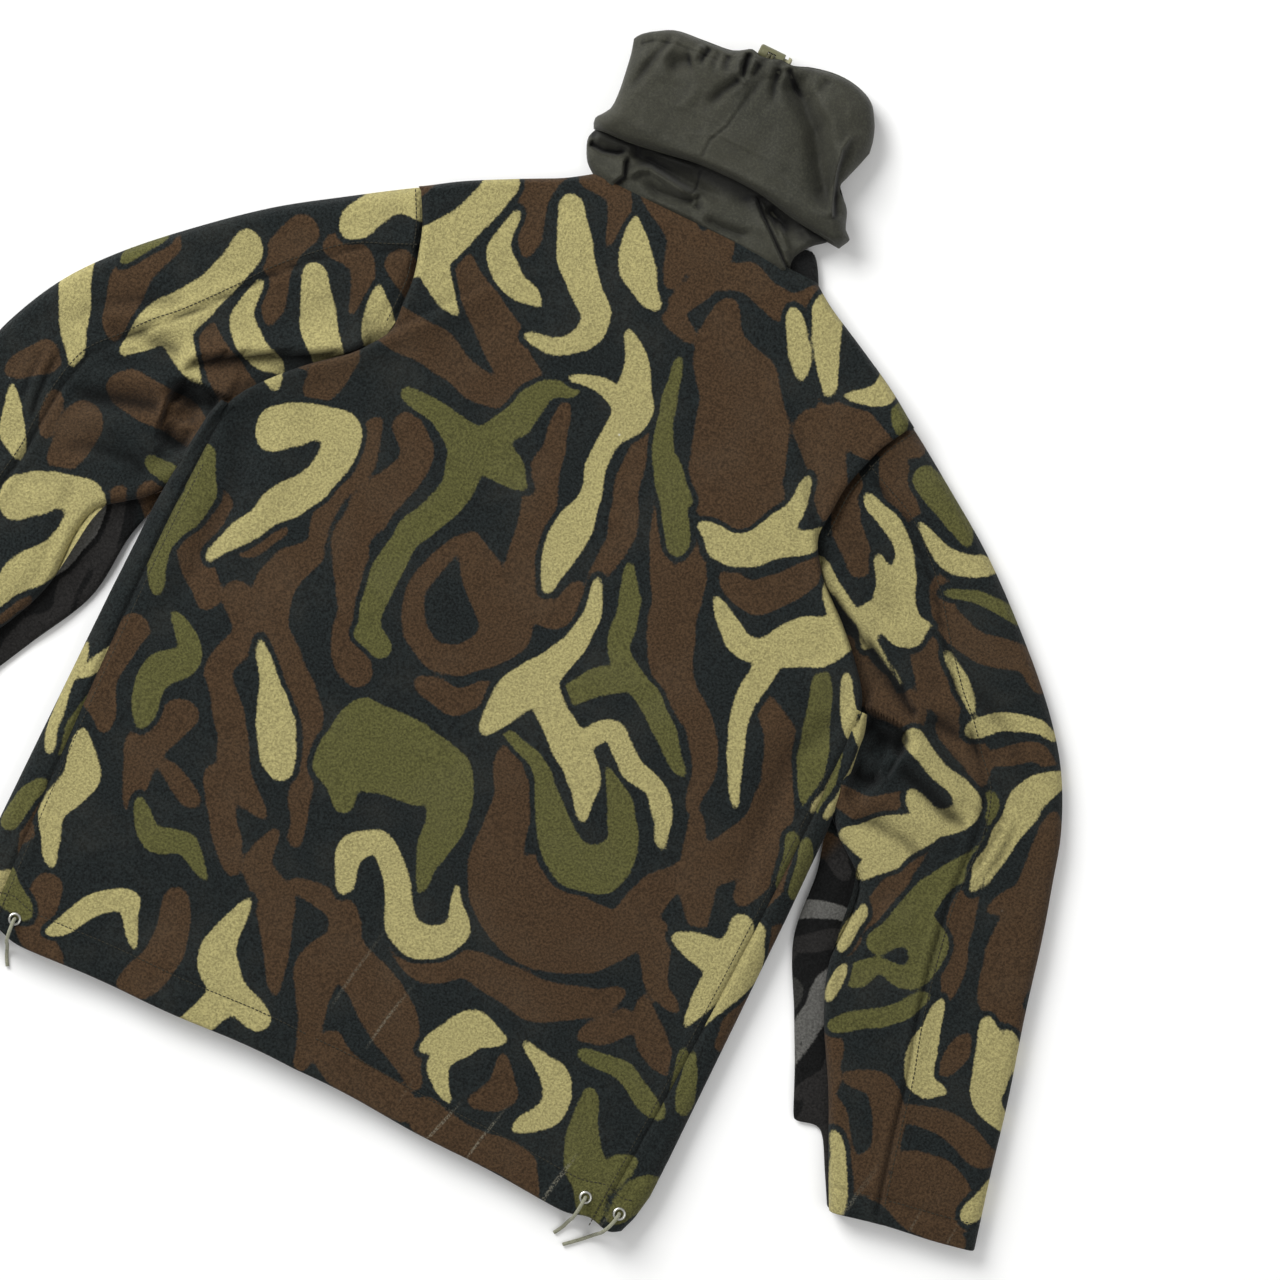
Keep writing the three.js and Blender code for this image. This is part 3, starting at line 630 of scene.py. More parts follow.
SLEEVE_KHAKI = [
    [(184, 151, 5), (200, 141, 4.5), (228, 126, 3.4), (256, 111, 2.2), (280, 96, 1)],
    [(200, 206, 5), (220, 198, 7), (242, 182, 7), (250, 152, 16), (266, 134, 14), (278, 142, 5)],
    [(224, 170, 4), (236, 160, 6), (246, 150, 10)],
    [(240, 130, 10), (246, 112, 5)],
    [(246, 206, 3), (272, 196, 7), (300, 204, 6)],
    [(304, 133, 2), (322, 116, 5), (336, 102, 3)],
    [(346, 90, 6), (362, 104, 7), (384, 112, 6), (400, 108, 3)],
    [(310, 60, 7), (330, 52, 6), (352, 46, 7), (368, 32, 9), (350, 14, 10), (328, 24, 6)],
    [(346, 6, 11), (322, -16, 18), (296, -22, 8)],
    [(330, -20, 12), (318, -44, 5)],
    [(420, 84, 6), (404, 62, 12), (400, 34, 6), (394, 0, 5), (396, -14, 3)],
    [(414, 46, 3), (404, -6, 2)],
    [(326, -70, 4), (324, -98, 5)],
    [(334, -120, 5), (334, -134, 4)],
    [(412, -112, 5), (414, -140, 9), (424, -166, 9), (438, -166, 4)],
    [(454, -110, 6), (470, -134, 13), (476, -158, 11), (494, -166, 6)],
    [(470, -108, 4), (486, -122, 5)],
    [(386, -230, 4), (398, -252, 6), (408, -272, 6)],
    [(512, -210, 5), (504, -232, 7)],
]
SLEEVE_GREEN = [
    [(230, 244, 8), (254, 234, 12), (276, 218, 6)],
    [(284, 176, 3), (312, 182, 4), (336, 180, 3)],
    [(380, 44, 5), (392, 28, 4), (388, 4, 5), (374, -26, 8), (362, -60, 12), (350, -84, 9)],
    [(366, -56, 14), (386, -72, 14), (384, -96, 8), (360, -100, 5), (350, -112, 8)],
    [(350, -112, 8), (338, -120, 4)],
    [(394, -112, 5), (378, -132, 6), (352, -150, 6)],
]
SLEEVE_BROWN = [
    [(204, 238, 9), (216, 226, 10), (238, 208, 5)],
    [(182, 210, 6), (190, 184, 8), (212, 162, 6)],
    [(212, 262, 8), (192, 250, 7)],
    [(276, 176, 5), (292, 156, 7), (322, 148, 9), (352, 156, 7), (372, 144, 4)],
    [(284, 130, 8), (306, 108, 14), (322, 92, 6)],
    [(330, 78, 6), (352, 72, 8), (364, 58, 4)],
    [(372, 78, 5), (390, 92, 5), (406, 90, 3)],
    [(430, 50, 6), (440, 20, 12), (446, -14, 18), (448, -50, 20), (452, -84, 14), (468, -96, 10)],
    [(430, -8, 6), (420, -20, 4)],
    [(396, -20, 5), (402, -50, 7), (410, -84, 6), (414, -100, 3)],
    [(350, -8, 3), (344, -40, 6), (334, -66, 5), (330, -100, 3)],
    [(236, 100, 6), (262, 84, 10), (290, 80, 12), (302, 72, 6)],
    [(278, 2, 6), (300, 2, 7), (318, 18, 4)],
    [(382, -182, 4), (398, -180, 8), (412, -194, 8), (420, -222, 8), (414, -246, 8)],
    [(376, -210, 6), (394, -236, 6), (410, -250, 6)],
    [(352, -164, 5), (366, -190, 5)],
    [(430, -190, 5), (456, -188, 8), (484, -196, 8), (500, -194, 4)],
    [(444, -228, 12), (474, -230, 14), (498, -238, 10)],
    [(430, -250, 8), (470, -258, 10), (500, -262, 8)],
    [(440, -130, 7), (436, -146, 4)],
]
FAR = 14.0  # how far from a mark's edge its distance is still kept
GAP = 4.2  # dark ground left between two colours
CELL = 1.5  # spacing of the places where that distance is kept


def drawn_out(mark):
    """A stroke with its thinner ends drawn out to a point, as brushed ends are."""
    points = [tuple(point) for point in mark]
    for at, before in ((0, 1), (-1, -2)):
        (x, y, r), (x0, y0, _) = points[at], points[before]
        length = math.hypot(x - x0, y - y0)
        if len(points) > 1 and length > 0 and r < 8:
            reach = 1.5 * r
            tip = (x + (x - x0) / length * reach, y + (y - y0) / length * reach, 0.6)
            if at == 0:
                points.insert(0, tip)
            else:
                points.append(tip)
    return points


def mark_distance(marks, x0, y0, width, height, grow):
    """Signed distance to the marks on a sheet that repeats, positive inside a mark."""
    columns, rows = int(width / CELL), int(height / CELL)
    sheet = np.full((rows, columns), -FAR)
    for mark in marks:
        for x, y, r in spline(drawn_out(mark), step=2.5):
            r = max(r, 0.6) + grow
            reach = r + FAR
            i = np.arange(int((x - reach - x0) // CELL), int((x + reach - x0) // CELL) + 1)
            j = np.arange(int((y - reach - y0) // CELL), int((y + reach - y0) // CELL) + 1)
            dx = x0 + (i + 0.5) * CELL - x
            dy = y0 + (j + 0.5) * CELL - y
            near = r - np.hypot(dx[None, :], dy[:, None])
            window = np.ix_(j % rows, i % columns)
            sheet[window] = np.maximum(sheet[window], near)
    for axis in (0, 1, 0, 1):
        sheet = (np.roll(sheet, 1, axis) + sheet + np.roll(sheet, -1, axis)) / 3
    return sheet


class Print:
    """One printed sheet of cloth; at() reads how deep a place lies in each colour."""

    def __init__(self, khaki, green, brown, x0, y0, width, height):
        self.frame = (x0, y0)
        area = (x0, y0, width, height)
        k = mark_distance(khaki, *area, 0.6)
        g = np.minimum(mark_distance(green, *area, 1.2), -k - GAP)
        b = np.minimum(mark_distance(brown, *area, 2.6), -np.maximum(k, g) - GAP)
        self.fields = {"khaki": k, "green": g, "brown": b}

    def at(self, x, y):
        x = x + 3.4 * noise(x, y, 36, 3) + 1.5 * noise(x, y, 14, 4)
        y = y + 3.4 * noise(x, y, 34, 5) + 1.5 * noise(x, y, 15, 6)
        gx = (x - self.frame[0]) / CELL - 0.5
        gy = (y - self.frame[1]) / CELL - 0.5
        ix, iy = np.floor(gx).astype(int), np.floor(gy).astype(int)
        fx, fy = gx - ix, gy - iy
        out = {}
        for name, sheet in self.fields.items():
            rows, columns = sheet.shape

            def read(dj, di):
                return sheet[(iy + dj) % rows, (ix + di) % columns]

            out[name] = ((read(0, 0) * (1 - fx) + read(0, 1) * fx) * (1 - fy)
                         + (read(1, 0) * (1 - fx) + read(1, 1) * fx) * fy)
        return out


BODY_PRINT = Print(BODY_KHAKI, BODY_GREEN, BODY_BROWN, x0=-290, y0=-380, width=580, height=730)
SLEEVE_PRINT = Print(SLEEVE_KHAKI, SLEEVE_GREEN, SLEEVE_BROWN, x0=170, y0=-300, width=360, height=590)


def hollow_shade(z, reach, depth):
    """How deep each place of a grid of heights lies below the cloth around it, from 0 to 1; used to paint
    shade into the creases.
    """
    around = z
    for _ in range(reach):
        for axis in (0, 1):
            pad = [(1, 1) if k == axis else (0, 0) for k in (0, 1)]
            wide = np.pad(around, pad, mode="edge")
            n = around.shape[axis]
            around = (np.take(wide, range(n), axis) + np.take(wide, range(1, n + 1), axis)
                      + np.take(wide, range(2, n + 2), axis)) / 3
    return np.clip((around - z) / depth, 0, 1)


def paint(obj, x, y, cloth, shade=0.0, crease_shade=0.0):
    for name, depth in cloth.at(np.ravel(x), np.ravel(y)).items():
        set_attribute(obj, name, depth)
    set_attribute(obj, "shade", np.broadcast_to(shade, np.shape(x)))
    # the last attribute carries painted shade for the cloth's hollows and folds
    set_attribute(obj, "crease_shade", np.broadcast_to(crease_shade, np.shape(x)))


# ---------------------------------------------------------------- how the cloth lies
# Lines below are (x, y) in millimetres on the right-hand side; the left-hand side mirrors them.
ARMPIT_FOLD = [(86, 276), (122, 236), (158, 188), (177, 165.5), (197, 138.5), (220, 118), (238, 101),
               (256, 82), (268, 66)]
ARMHOLE = [(204, 273), (191, 248), (185.5, 232), (179.5, 210), (178.5, 191), (178.5, 168)]
SIDE_SEAM = [(253, -372), (255, -331), (259, -250), (263, -141), (265, -40), (264, 20), (263, 66)]
SLEEVE_SEAM = [(184, 229), (204, 220), (230, 208), (255, 187), (277, 164), (295, 140), (320, 110), (337, 93),
               (355, 72), (373, 50), (381, 20), (383, -10), (384, -35), (392, -81), (402, -126), (415, -170),
               (423, -207), (438, -268)]
SLEEVE_OUTER = [(186, 281), (206, 271.5), (250, 243), (298, 210), (345, 170), (386, 130), (416, 92),
                (437, 50), (449, 10), (460, -30), (473, -85), (490, -150), (502, -203), (516, -260)]
SLEEVE_INNER = [(278, -14), (288, -26), (301, -36), (317, -50), (323, -72), (324, -113), (338, -152),
                (366, -202), (386, -243), (405, -281)]
UNDER_INNER = [(276, -16), (281, -36), (287, -60), (293, -110), (318, -160), (336, -196), (350, -227),
               (353.5, -231.5), (357.5, -231.5), (370, -229), (378, -235), (390, -256), (403, -279)]
ARMHOLE_HIDDEN = [(186, 281), (182, 258), (178, 236), (175, 211), (175.5, 191), (178, 168), (184, 140),
                  (200, 112), (222, 84), (240, 58), (252, 30), (262, 2), (278, -14)]


# broad waves that differ from left to right
BODY_WAVES = [
    (ridge, [(-190, 240), (-130, 120), (-60, 20)], 1.5, 22, 0.3, 0.6),
    (ridge, [(60, -60), (150, -150), (240, -210)], 1.1, 24, 0.3, 0.3),
    (ridge, [(-160, -140), (-60, -230), (60, -290)], -1.1, 26, 0.3, 0.3),
]


# soft drags from the underarm down each side of the back
BODY_DRAGS = [
    (ridge, [(236, 96), (214, 60), (206, 0), (212, -70)], 2.6, 12, 0.1, 0.5),
    (ridge, [(250, 60), (232, 10), (232, -60), (240, -130)], -3.6, 9, 0.1, 0.5),
    (ridge, [(252, 10), (250, -60), (254, -150)], 1.8, 8, 0.2, 0.5),
    (ridge, [(150, 150), (120, 60), (112, -40)], -1.2, 26, 0.4, 0.5),
]


def body_height(x, y):
    """Height of the back panel's cloth over the table."""
    side = np.abs(x)
    z = 21.5 + 1.9 * noise(x, y, 150, 11) + 1.1 * noise(x, y, 62, 12) + 0.5 * noise(x, y, 27, 13)
    z = z + overhang(side, y, ARMPIT_FOLD[::-1], 0, 1, 3.5, 14, first=0.1, last=0.5)
    # the right-hand fold stands a little higher than the left-hand one
    rise = 8.5 + 1.0 * np.sign(x)
    z = z + rise * fold_share(side, y)
    z = folded(z, side, y, BODY_DRAGS)
    z = folded(z, x, y, BODY_WAVES)
    # the hem lies closer to the table and ripples a little along its cord
    low = 1 - smooth(20, 80, y - HEM)
    z = z * (1 - low) + low * (TOP - 0.6 + 0.8 * np.sin(side / 15.0 + 0.6 * np.sin(side / 7)))
    return z


def fold_share(side, y):
    """How strongly the rolled edge of the armpit fold lifts the body's cloth."""
    away, along = beside(side, y, ARMPIT_FOLD)
    reach = 12 + 16 * (1 - along)
    inward = np.maximum(-away, 0)
    crest = 0.55 + 0.45 * np.exp(-((inward - 8) / 9) ** 2)
    return smooth(0.0, 0.45, along) * np.exp(-((inward / reach) ** 1.3)) * crest


def eyelet_dip(x, y, z):
    """Draws the cloth to each eyelet's seat."""
    for ex, ey, _ in EYELETS.values():
        away = np.hypot(x - ex, y - ey)
        z = z + (TOP - 0.05 - z) * np.exp(-((away / 9) ** 4))
    return z


def seam_dip(x, y, line, depth=2.0, width=1.8, puff=0.8):
    away, _ = beside(x, y, line)
    return -depth * np.exp(-((away / width) ** 2)) + puff * np.exp(-(((np.abs(away) - 5.5) / 3.2) ** 2))


HEM_DEPTH = 25  # from the hem's edge to its stitching


def hem_line(x):
    """Where the hem's edge lies."""
    side = np.abs(x)
    corner = 4.5 * np.exp(-(((side - 246) / 11) ** 2)) + 5 * smooth(262, 280, side)
    return HEM + 7 * (1 - smooth(0, 250, side)) + corner + 0.8 * np.sin(side / 21)


def roll_height(inward, radius, top, middle):
    """Height near a rolled edge; inward is how far inside the outline a place lies."""
    t = np.clip(1 - inward / radius, 0, 1)
    return middle + (top - middle) * np.sqrt(np.clip(1 - t**2.2, 0, 1))


def edge_of(line, y):
    """x of a line at each y, for a line whose y always rises or always falls."""
    p = spline(line, step=4)
    order = np.argsort(p[:, 1])
    return np.interp(y, p[order, 1], p[order, 0])


def turned_hem(x, y, z, radius, steps, runs, depth, fall):
    """Rows that turn a panel's hem over, down (fall -1) or up (fall 1), and run back inside as its facing."""
    turn = []
    for a in np.linspace(0, math.pi, steps)[1:]:
        turn.append(np.stack([x[0], y[0] - radius * np.sin(a), z[0] + fall * radius * (1 - np.cos(a))], 1))
    for run in runs:
        turn.append(np.stack([x[0], y[0] + run, z[0] + fall * depth], 1))
    return turn


SHOULDER_EDGE = [(209, 270), (179, 290), (142, 310), (111, 326), (92, 339)]
BACK_EDGE = SIDE_SEAM[:-1] + [(263, 60), (257, 78), (239, 100), (221, 118), (197, 139), (178, 165),
                              (178, 191), (179.5, 210), (185.5, 232), (191, 248), (203, 270)]
BACK_ROWS = 300
SHOULDER_ROWS = 34  # of them above the armholes
BACK_COLUMNS = 236
NECK_SEAM_Y = 335
SHOULDER_Y = 272  # where the armhole's edge ends and the shoulder's begins


def back_panel():
    y = np.concatenate([np.linspace(HEM, SHOULDER_Y, BACK_ROWS - SHOULDER_ROWS, endpoint=False),
                        np.linspace(SHOULDER_Y, NECK_SEAM_Y + 3, SHOULDER_ROWS)])
    edge = np.where(y < SHOULDER_Y - 1, edge_of(BACK_EDGE, y), edge_of(SHOULDER_EDGE, y))
    s = np.linspace(-1, 1, BACK_COLUMNS)
    s = s - 0.05 * np.sin(s * math.pi)
    x = edge[:, None] * s[None, :]
    yy = np.repeat(y[:, None], BACK_COLUMNS, 1)
    yy = yy + (hem_line(x) - HEM) * (1 - smooth(0, 80, yy - HEM))
    side = np.abs(x)
    z = body_height(x, yy)
    z = z + seam_dip(side, yy, SIDE_SEAM) * smooth(66, 50, yy) * smooth(0, 30, yy - HEM - 8)
    z = z + seam_dip(side, yy, ARMHOLE) * smooth(170, 185, yy)
    inward = edge[:, None] - side
    # painted shade, darkest where the cloth lies below the cloth around it, faded out near the hem
    crease_shade = hollow_shade(z, 9, 3.6) * smooth(0, 30, yy - HEM - 30) * 0.85
    fold = smooth(58, 74, yy) * (1 - smooth(160, 182, yy))
    shoulder = smooth(266, 280, yy)
    z = np.where(fold > 0, z * (1 - fold) + fold * roll_height(inward, 6.0, z, z - 9), z)
    z = z * (1 - shoulder) + shoulder * roll_height(inward, 11, z, 11)
    stitch = hem_line(x) + HEM_DEPTH
    z = z - 0.9 * np.exp(-(((yy - stitch) / 1.5) ** 2))
    z = eyelet_dip(x, yy, z)
    # a shallow dip into the seam with the mask
    z = z - 2.2 * smooth(NECK_SEAM_Y - 5, NECK_SEAM_Y + 2, yy)
    top = np.stack([x, yy, z], 2)
    turn = turned_hem(x, yy, z, 2.3, 7, (8, 17, 26), 4.8, -1)
    rows = np.concatenate([np.array(turn[::-1]), top])
    obj = mesh_object("back_cloth", rows.reshape(-1, 3), grid_faces(rows.shape[0], BACK_COLUMNS), CAMO)
    print_y = rows[..., 1].copy()
    print_y[: len(turn)] = yy[0][None, :] - np.arange(len(turn), 0, -1)[:, None] * 2.0
    crease_shade = np.concatenate([np.repeat(crease_shade[:1], len(turn), 0), crease_shade])
    paint(obj, rows[..., 0], print_y, BODY_PRINT, crease_shade=crease_shade)
    return obj


STRIP_TOP = 64


def side_strip(mirror):
    """The front panel where it wraps round the side to the back seam."""
    y = np.linspace(HEM, STRIP_TOP, 190)
    seam = edge_of(SIDE_SEAM, y)
    outline = np.interp(y, [-366, -356, -335, -300, -200, -100, -30, 20, 50, 66],
                        [273, 277, 280.5, 281, 281, 281, 280, 276.5, 273, 268])
    lift = np.interp(y, [-366, -40, 20, 64], [0, 0, 3, 6])
    flat = 8
    radius = 11
    points = []
    for i in range(flat):
        x = seam + (outline - radius - seam) * i / flat
        points.append(np.stack([x, y, np.full_like(y, np.nan)], 1))
    for a in np.linspace(0, math.pi, 15):
        x = outline - radius + radius * np.sin(a)
        points.append(np.stack([x, y, np.full_like(y, np.cos(a))], 1))
    points.append(np.stack([outline - 24, y, np.full_like(y, -2)], 1))
    grid = np.stack(points, 1)
    x, yy = grid[..., 0], grid[..., 1].copy()
    yy = yy + (hem_line(x) - HEM) * (1 - smooth(0, 80, yy - HEM))
    sx = x * mirror
    top = body_height(sx, yy) + seam_dip(x, yy, SIDE_SEAM) * smooth(0, 30, yy - HEM - 8)
    top = eyelet_dip(sx, yy, top)
    stitch = hem_line(x) + HEM_DEPTH
    top = top - 0.8 * np.exp(-(((yy - stitch) / 1.5) ** 2))
    middle = top / 2 + 0.4
    code = grid[..., 2]
    z = np.where(np.isnan(code), top, middle + (top - middle) * code)
    z = np.where(code == -2, 1.0, np.maximum(z, 0.5))
    z = z + lift[:, None] * (code < 0.9) * (code > -2)
    grid = np.stack([sx, yy, z], 2)
    turn = []
    for a in np.linspace(0, math.pi, 6)[1:]:
        back = 2.2 * (1 - np.cos(a))
        turn_x = sx[0] - mirror * back * np.clip((x[0] - 262) / 10, 0, 1)
        turn_z = z[0] + np.where(z[0] > 12, -1, 1) * back * np.clip(np.abs(z[0] - 12) / 8, 0, 1)
        turn.append(np.stack([turn_x, yy[0] - 2.2 * np.sin(a), turn_z], 1))
    rows = np.concatenate([np.array(turn[::-1]), grid])
    faces = grid_faces(rows.shape[0], rows.shape[1])
    if mirror < 0:
        faces = faces[:, ::-1]
    obj = mesh_object(f"side_{'right' if mirror > 0 else 'left'}", rows.reshape(-1, 3), faces, CAMO)
    steps = np.hypot(np.diff(rows[..., 0]), np.diff(rows[..., 2]))
    arc = np.cumsum(np.concatenate([np.zeros((rows.shape[0], 1)), steps], 1), 1)
    paint(obj, 253 + arc, rows[..., 1] + (0 if mirror > 0 else 210), BODY_PRINT)
    return obj


def front_bottom():
    """The front panel's large face, lying on the table."""
    y = np.linspace(HEM + 1, NECK_SEAM_Y + 2, 120)
    edge = np.interp(y, [-366, -20, 62, 100, 170, 232, 272, 290, 310, 326, 340],
                     [262, 262, 250, 242, 226, 214, 196, 170, 132, 100, 84])
    s = np.linspace(-1, 1, 100)
    x = edge[:, None] * s[None, :]
    yy = np.repeat(y[:, None], 100, 1)
    yy = yy + (hem_line(x) - HEM) * (1 - smooth(0, 80, yy - HEM))
    z = 0.6 + 0.3 * noise(x, yy, 40, 21)
    z = z + 9 * smooth(-14, 0, np.abs(x) - edge[:, None]) * smooth(265, 280, yy)
    turn = turned_hem(x, yy, z, 1.8, 6, (10, 26), 4.2, 1)
    rows = np.concatenate([np.array(turn[::-1]), np.stack([x, yy, z], 2)])
    obj = mesh_object("front_cloth", rows.reshape(-1, 3), grid_faces(rows.shape[0], 100)[:, ::-1], CAMO)
    paint(obj, -rows[..., 0] + 60, rows[..., 1] + 240, BODY_PRINT)
    return obj


def lining(name, height, turn_over):
    """The black reverse of the fleece, seen through the hem."""
    y = np.linspace(HEM + 24, NECK_SEAM_Y - 8, 60)
    edge = np.interp(y, [-366, -20, 62, 100, 170, 232, 272, 290, 310, 326, 340],
                     [256, 256, 244, 222, 168, 172, 182, 160, 122, 92, 78])
    s = np.linspace(-1, 1, 60)
    x = edge[:, None] * s[None, :]
    yy = np.repeat(y[:, None], 60, 1)
    z = height(x, yy)
    faces = grid_faces(60, 60)
    if turn_over:
        faces = faces[:, ::-1]
    return mesh_object(name, np.stack([x, yy, z], 2).reshape(-1, 3), faces, LINING)


# ---------------------------------------------------------------- sleeves
SLEEVE_ROWS = 270
SLEEVE_ACROSS = 76
CUFF_STITCH = 18
TOPSTITCH = 4.6  # how far a row of stitches runs from its seam


# folds round the pocket, the elbow and down the arm
SLEEVE_FOLDS = [
    (ridge, [(268, 58), (284, 55), (300, 55), (303, 44)], -10.0, 8.0, 0.1, 0.2),
    (ridge, [(276, 38), (288, 32), (300, 34)], 5.0, 4.0, 0.2, 0.2),
    (ridge, [(274, 24), (286, 20), (300, 24)], -3.5, 3.0),
    (ridge, [(272, 14), (286, 8), (302, 12)], 3.5, 4.5, 0.2, 0.2),
    # folds that fan out of the elbow
    (ridge, [(302, 58), (330, 50), (352, 42), (374, 34)], 5.0, 7, 0.15, 0.3),
    (ridge, [(300, 40), (330, 33), (356, 24), (380, 20)], -4.8, 6, 0.15, 0.3),
    (ridge, [(290, 4), (316, 12), (344, 10), (372, 2)], 4.4, 8, 0.2, 0.3),
    (ridge, [(284, -12), (310, -6), (340, -10), (366, -24)], -3.2, 6, 0.2, 0.3),
    (ridge, [(304, 84), (326, 82), (350, 80), (380, 70)], -3.6, 6.5, 0.2, 0.4),
    (ridge, [(300, 100), (330, 97), (360, 92), (396, 70)], 3.2, 8, 0.2, 0.4),
    (ridge, [(318, 124), (346, 110), (380, 88), (404, 60)], -2.2, 7, 0.3, 0.3),
    # a pleat beside the long seam at the elbow
    (overhang, [(394, 52), (397, 30), (395, 4), (390, -18)], 3.0, 6, 3.2, 5, 1.0, 0.25, 0.25),
    (ridge, [(404, 46), (405, 20), (403, -10)], -2.2, 2.6, 0.3, 0.3),
    (ridge, [(330, -66), (350, -60), (378, -68)], 1.8, 9, 0.3, 0.4),
    (ridge, [(344, -30), (338, -70), (334, -116), (352, -166)], -2.0, 6, 0.2, 0.3),
    (ridge, [(330, -150), (380, -150), (410, -140)], -1.2, 12, 0.2, 0.4),
]


# a drag from the shoulder, and the folded edges over and under the underarm
SLEEVE_EDGES = [
    (ridge, [(205, 190), (235, 160), (262, 128)], -1.6, 12, 0.3, 0.3),
    # the folded edge that runs from the armhole over the underarm
    (overhang, [(186, 147), (200, 137), (230, 122.5), (260, 107.5), (284, 94), (300, 82), (307, 66)], 9, 16,
     4.5, 12, 0.9, 0.04, 0.15),
    (overhang, [(262, 67), (276, 66.5), (292, 67), (301, 65.5), (305.5, 56), (303, 30), (298, 10)], 7.5, 12,
     5.0, 9, 0.9, 0.05, 0.3),
]


def sleeve_height(x, y, mirror):
    z = 19 + 1.6 * noise(x * mirror, y, 90, 31) + 0.9 * noise(x, y, 42, 32 + mirror) + 0.4 * noise(x, y, 20,
                                                                                                   33)
    # cloth drawn down from the shoulder
    z = z + 2.2 * smooth(150, 250, y)
    z = folded(z, x, y, SLEEVE_EDGES)
    # the deep pocket below the underarm
    pocket = 1 - smooth(0.45, 1.05, np.hypot((x - 287) / 14, (y - 28) / 34.0))
    z = z + (9.0 - z) * pocket * 0.9
    z = folded(z, x, y, SLEEVE_FOLDS)
    z = z + seam_dip(x, y, SLEEVE_SEAM, 2.6, 1.9, 1.2)
    z = z + seam_dip(x, y, ARMHOLE, 2.4, 1.9, 1.0) * smooth(166, 182, y)
    return z


def coons(left, right, start, end, rows, columns):
    """A patch of plan points between four lines; left runs beside right, from start to end."""
    left = spline(left, step=3, count=rows)
    right = spline(right, step=3, count=rows)
    start = spline(start, step=3, count=columns)
    end = spline(end, step=3, count=columns)
    across = np.linspace(0, 1, columns)[None, :, None]
    along = np.linspace(0, 1, rows)[:, None, None]
    grid = (left[:, None] * (1 - across) + right[:, None] * across
            + start[None] * (1 - along) + end[None] * along)
    corners = (left[0] * (1 - across) * (1 - along) + right[0] * across * (1 - along)
               + left[-1] * (1 - across) * along + right[-1] * across * along)
    return grid - corners


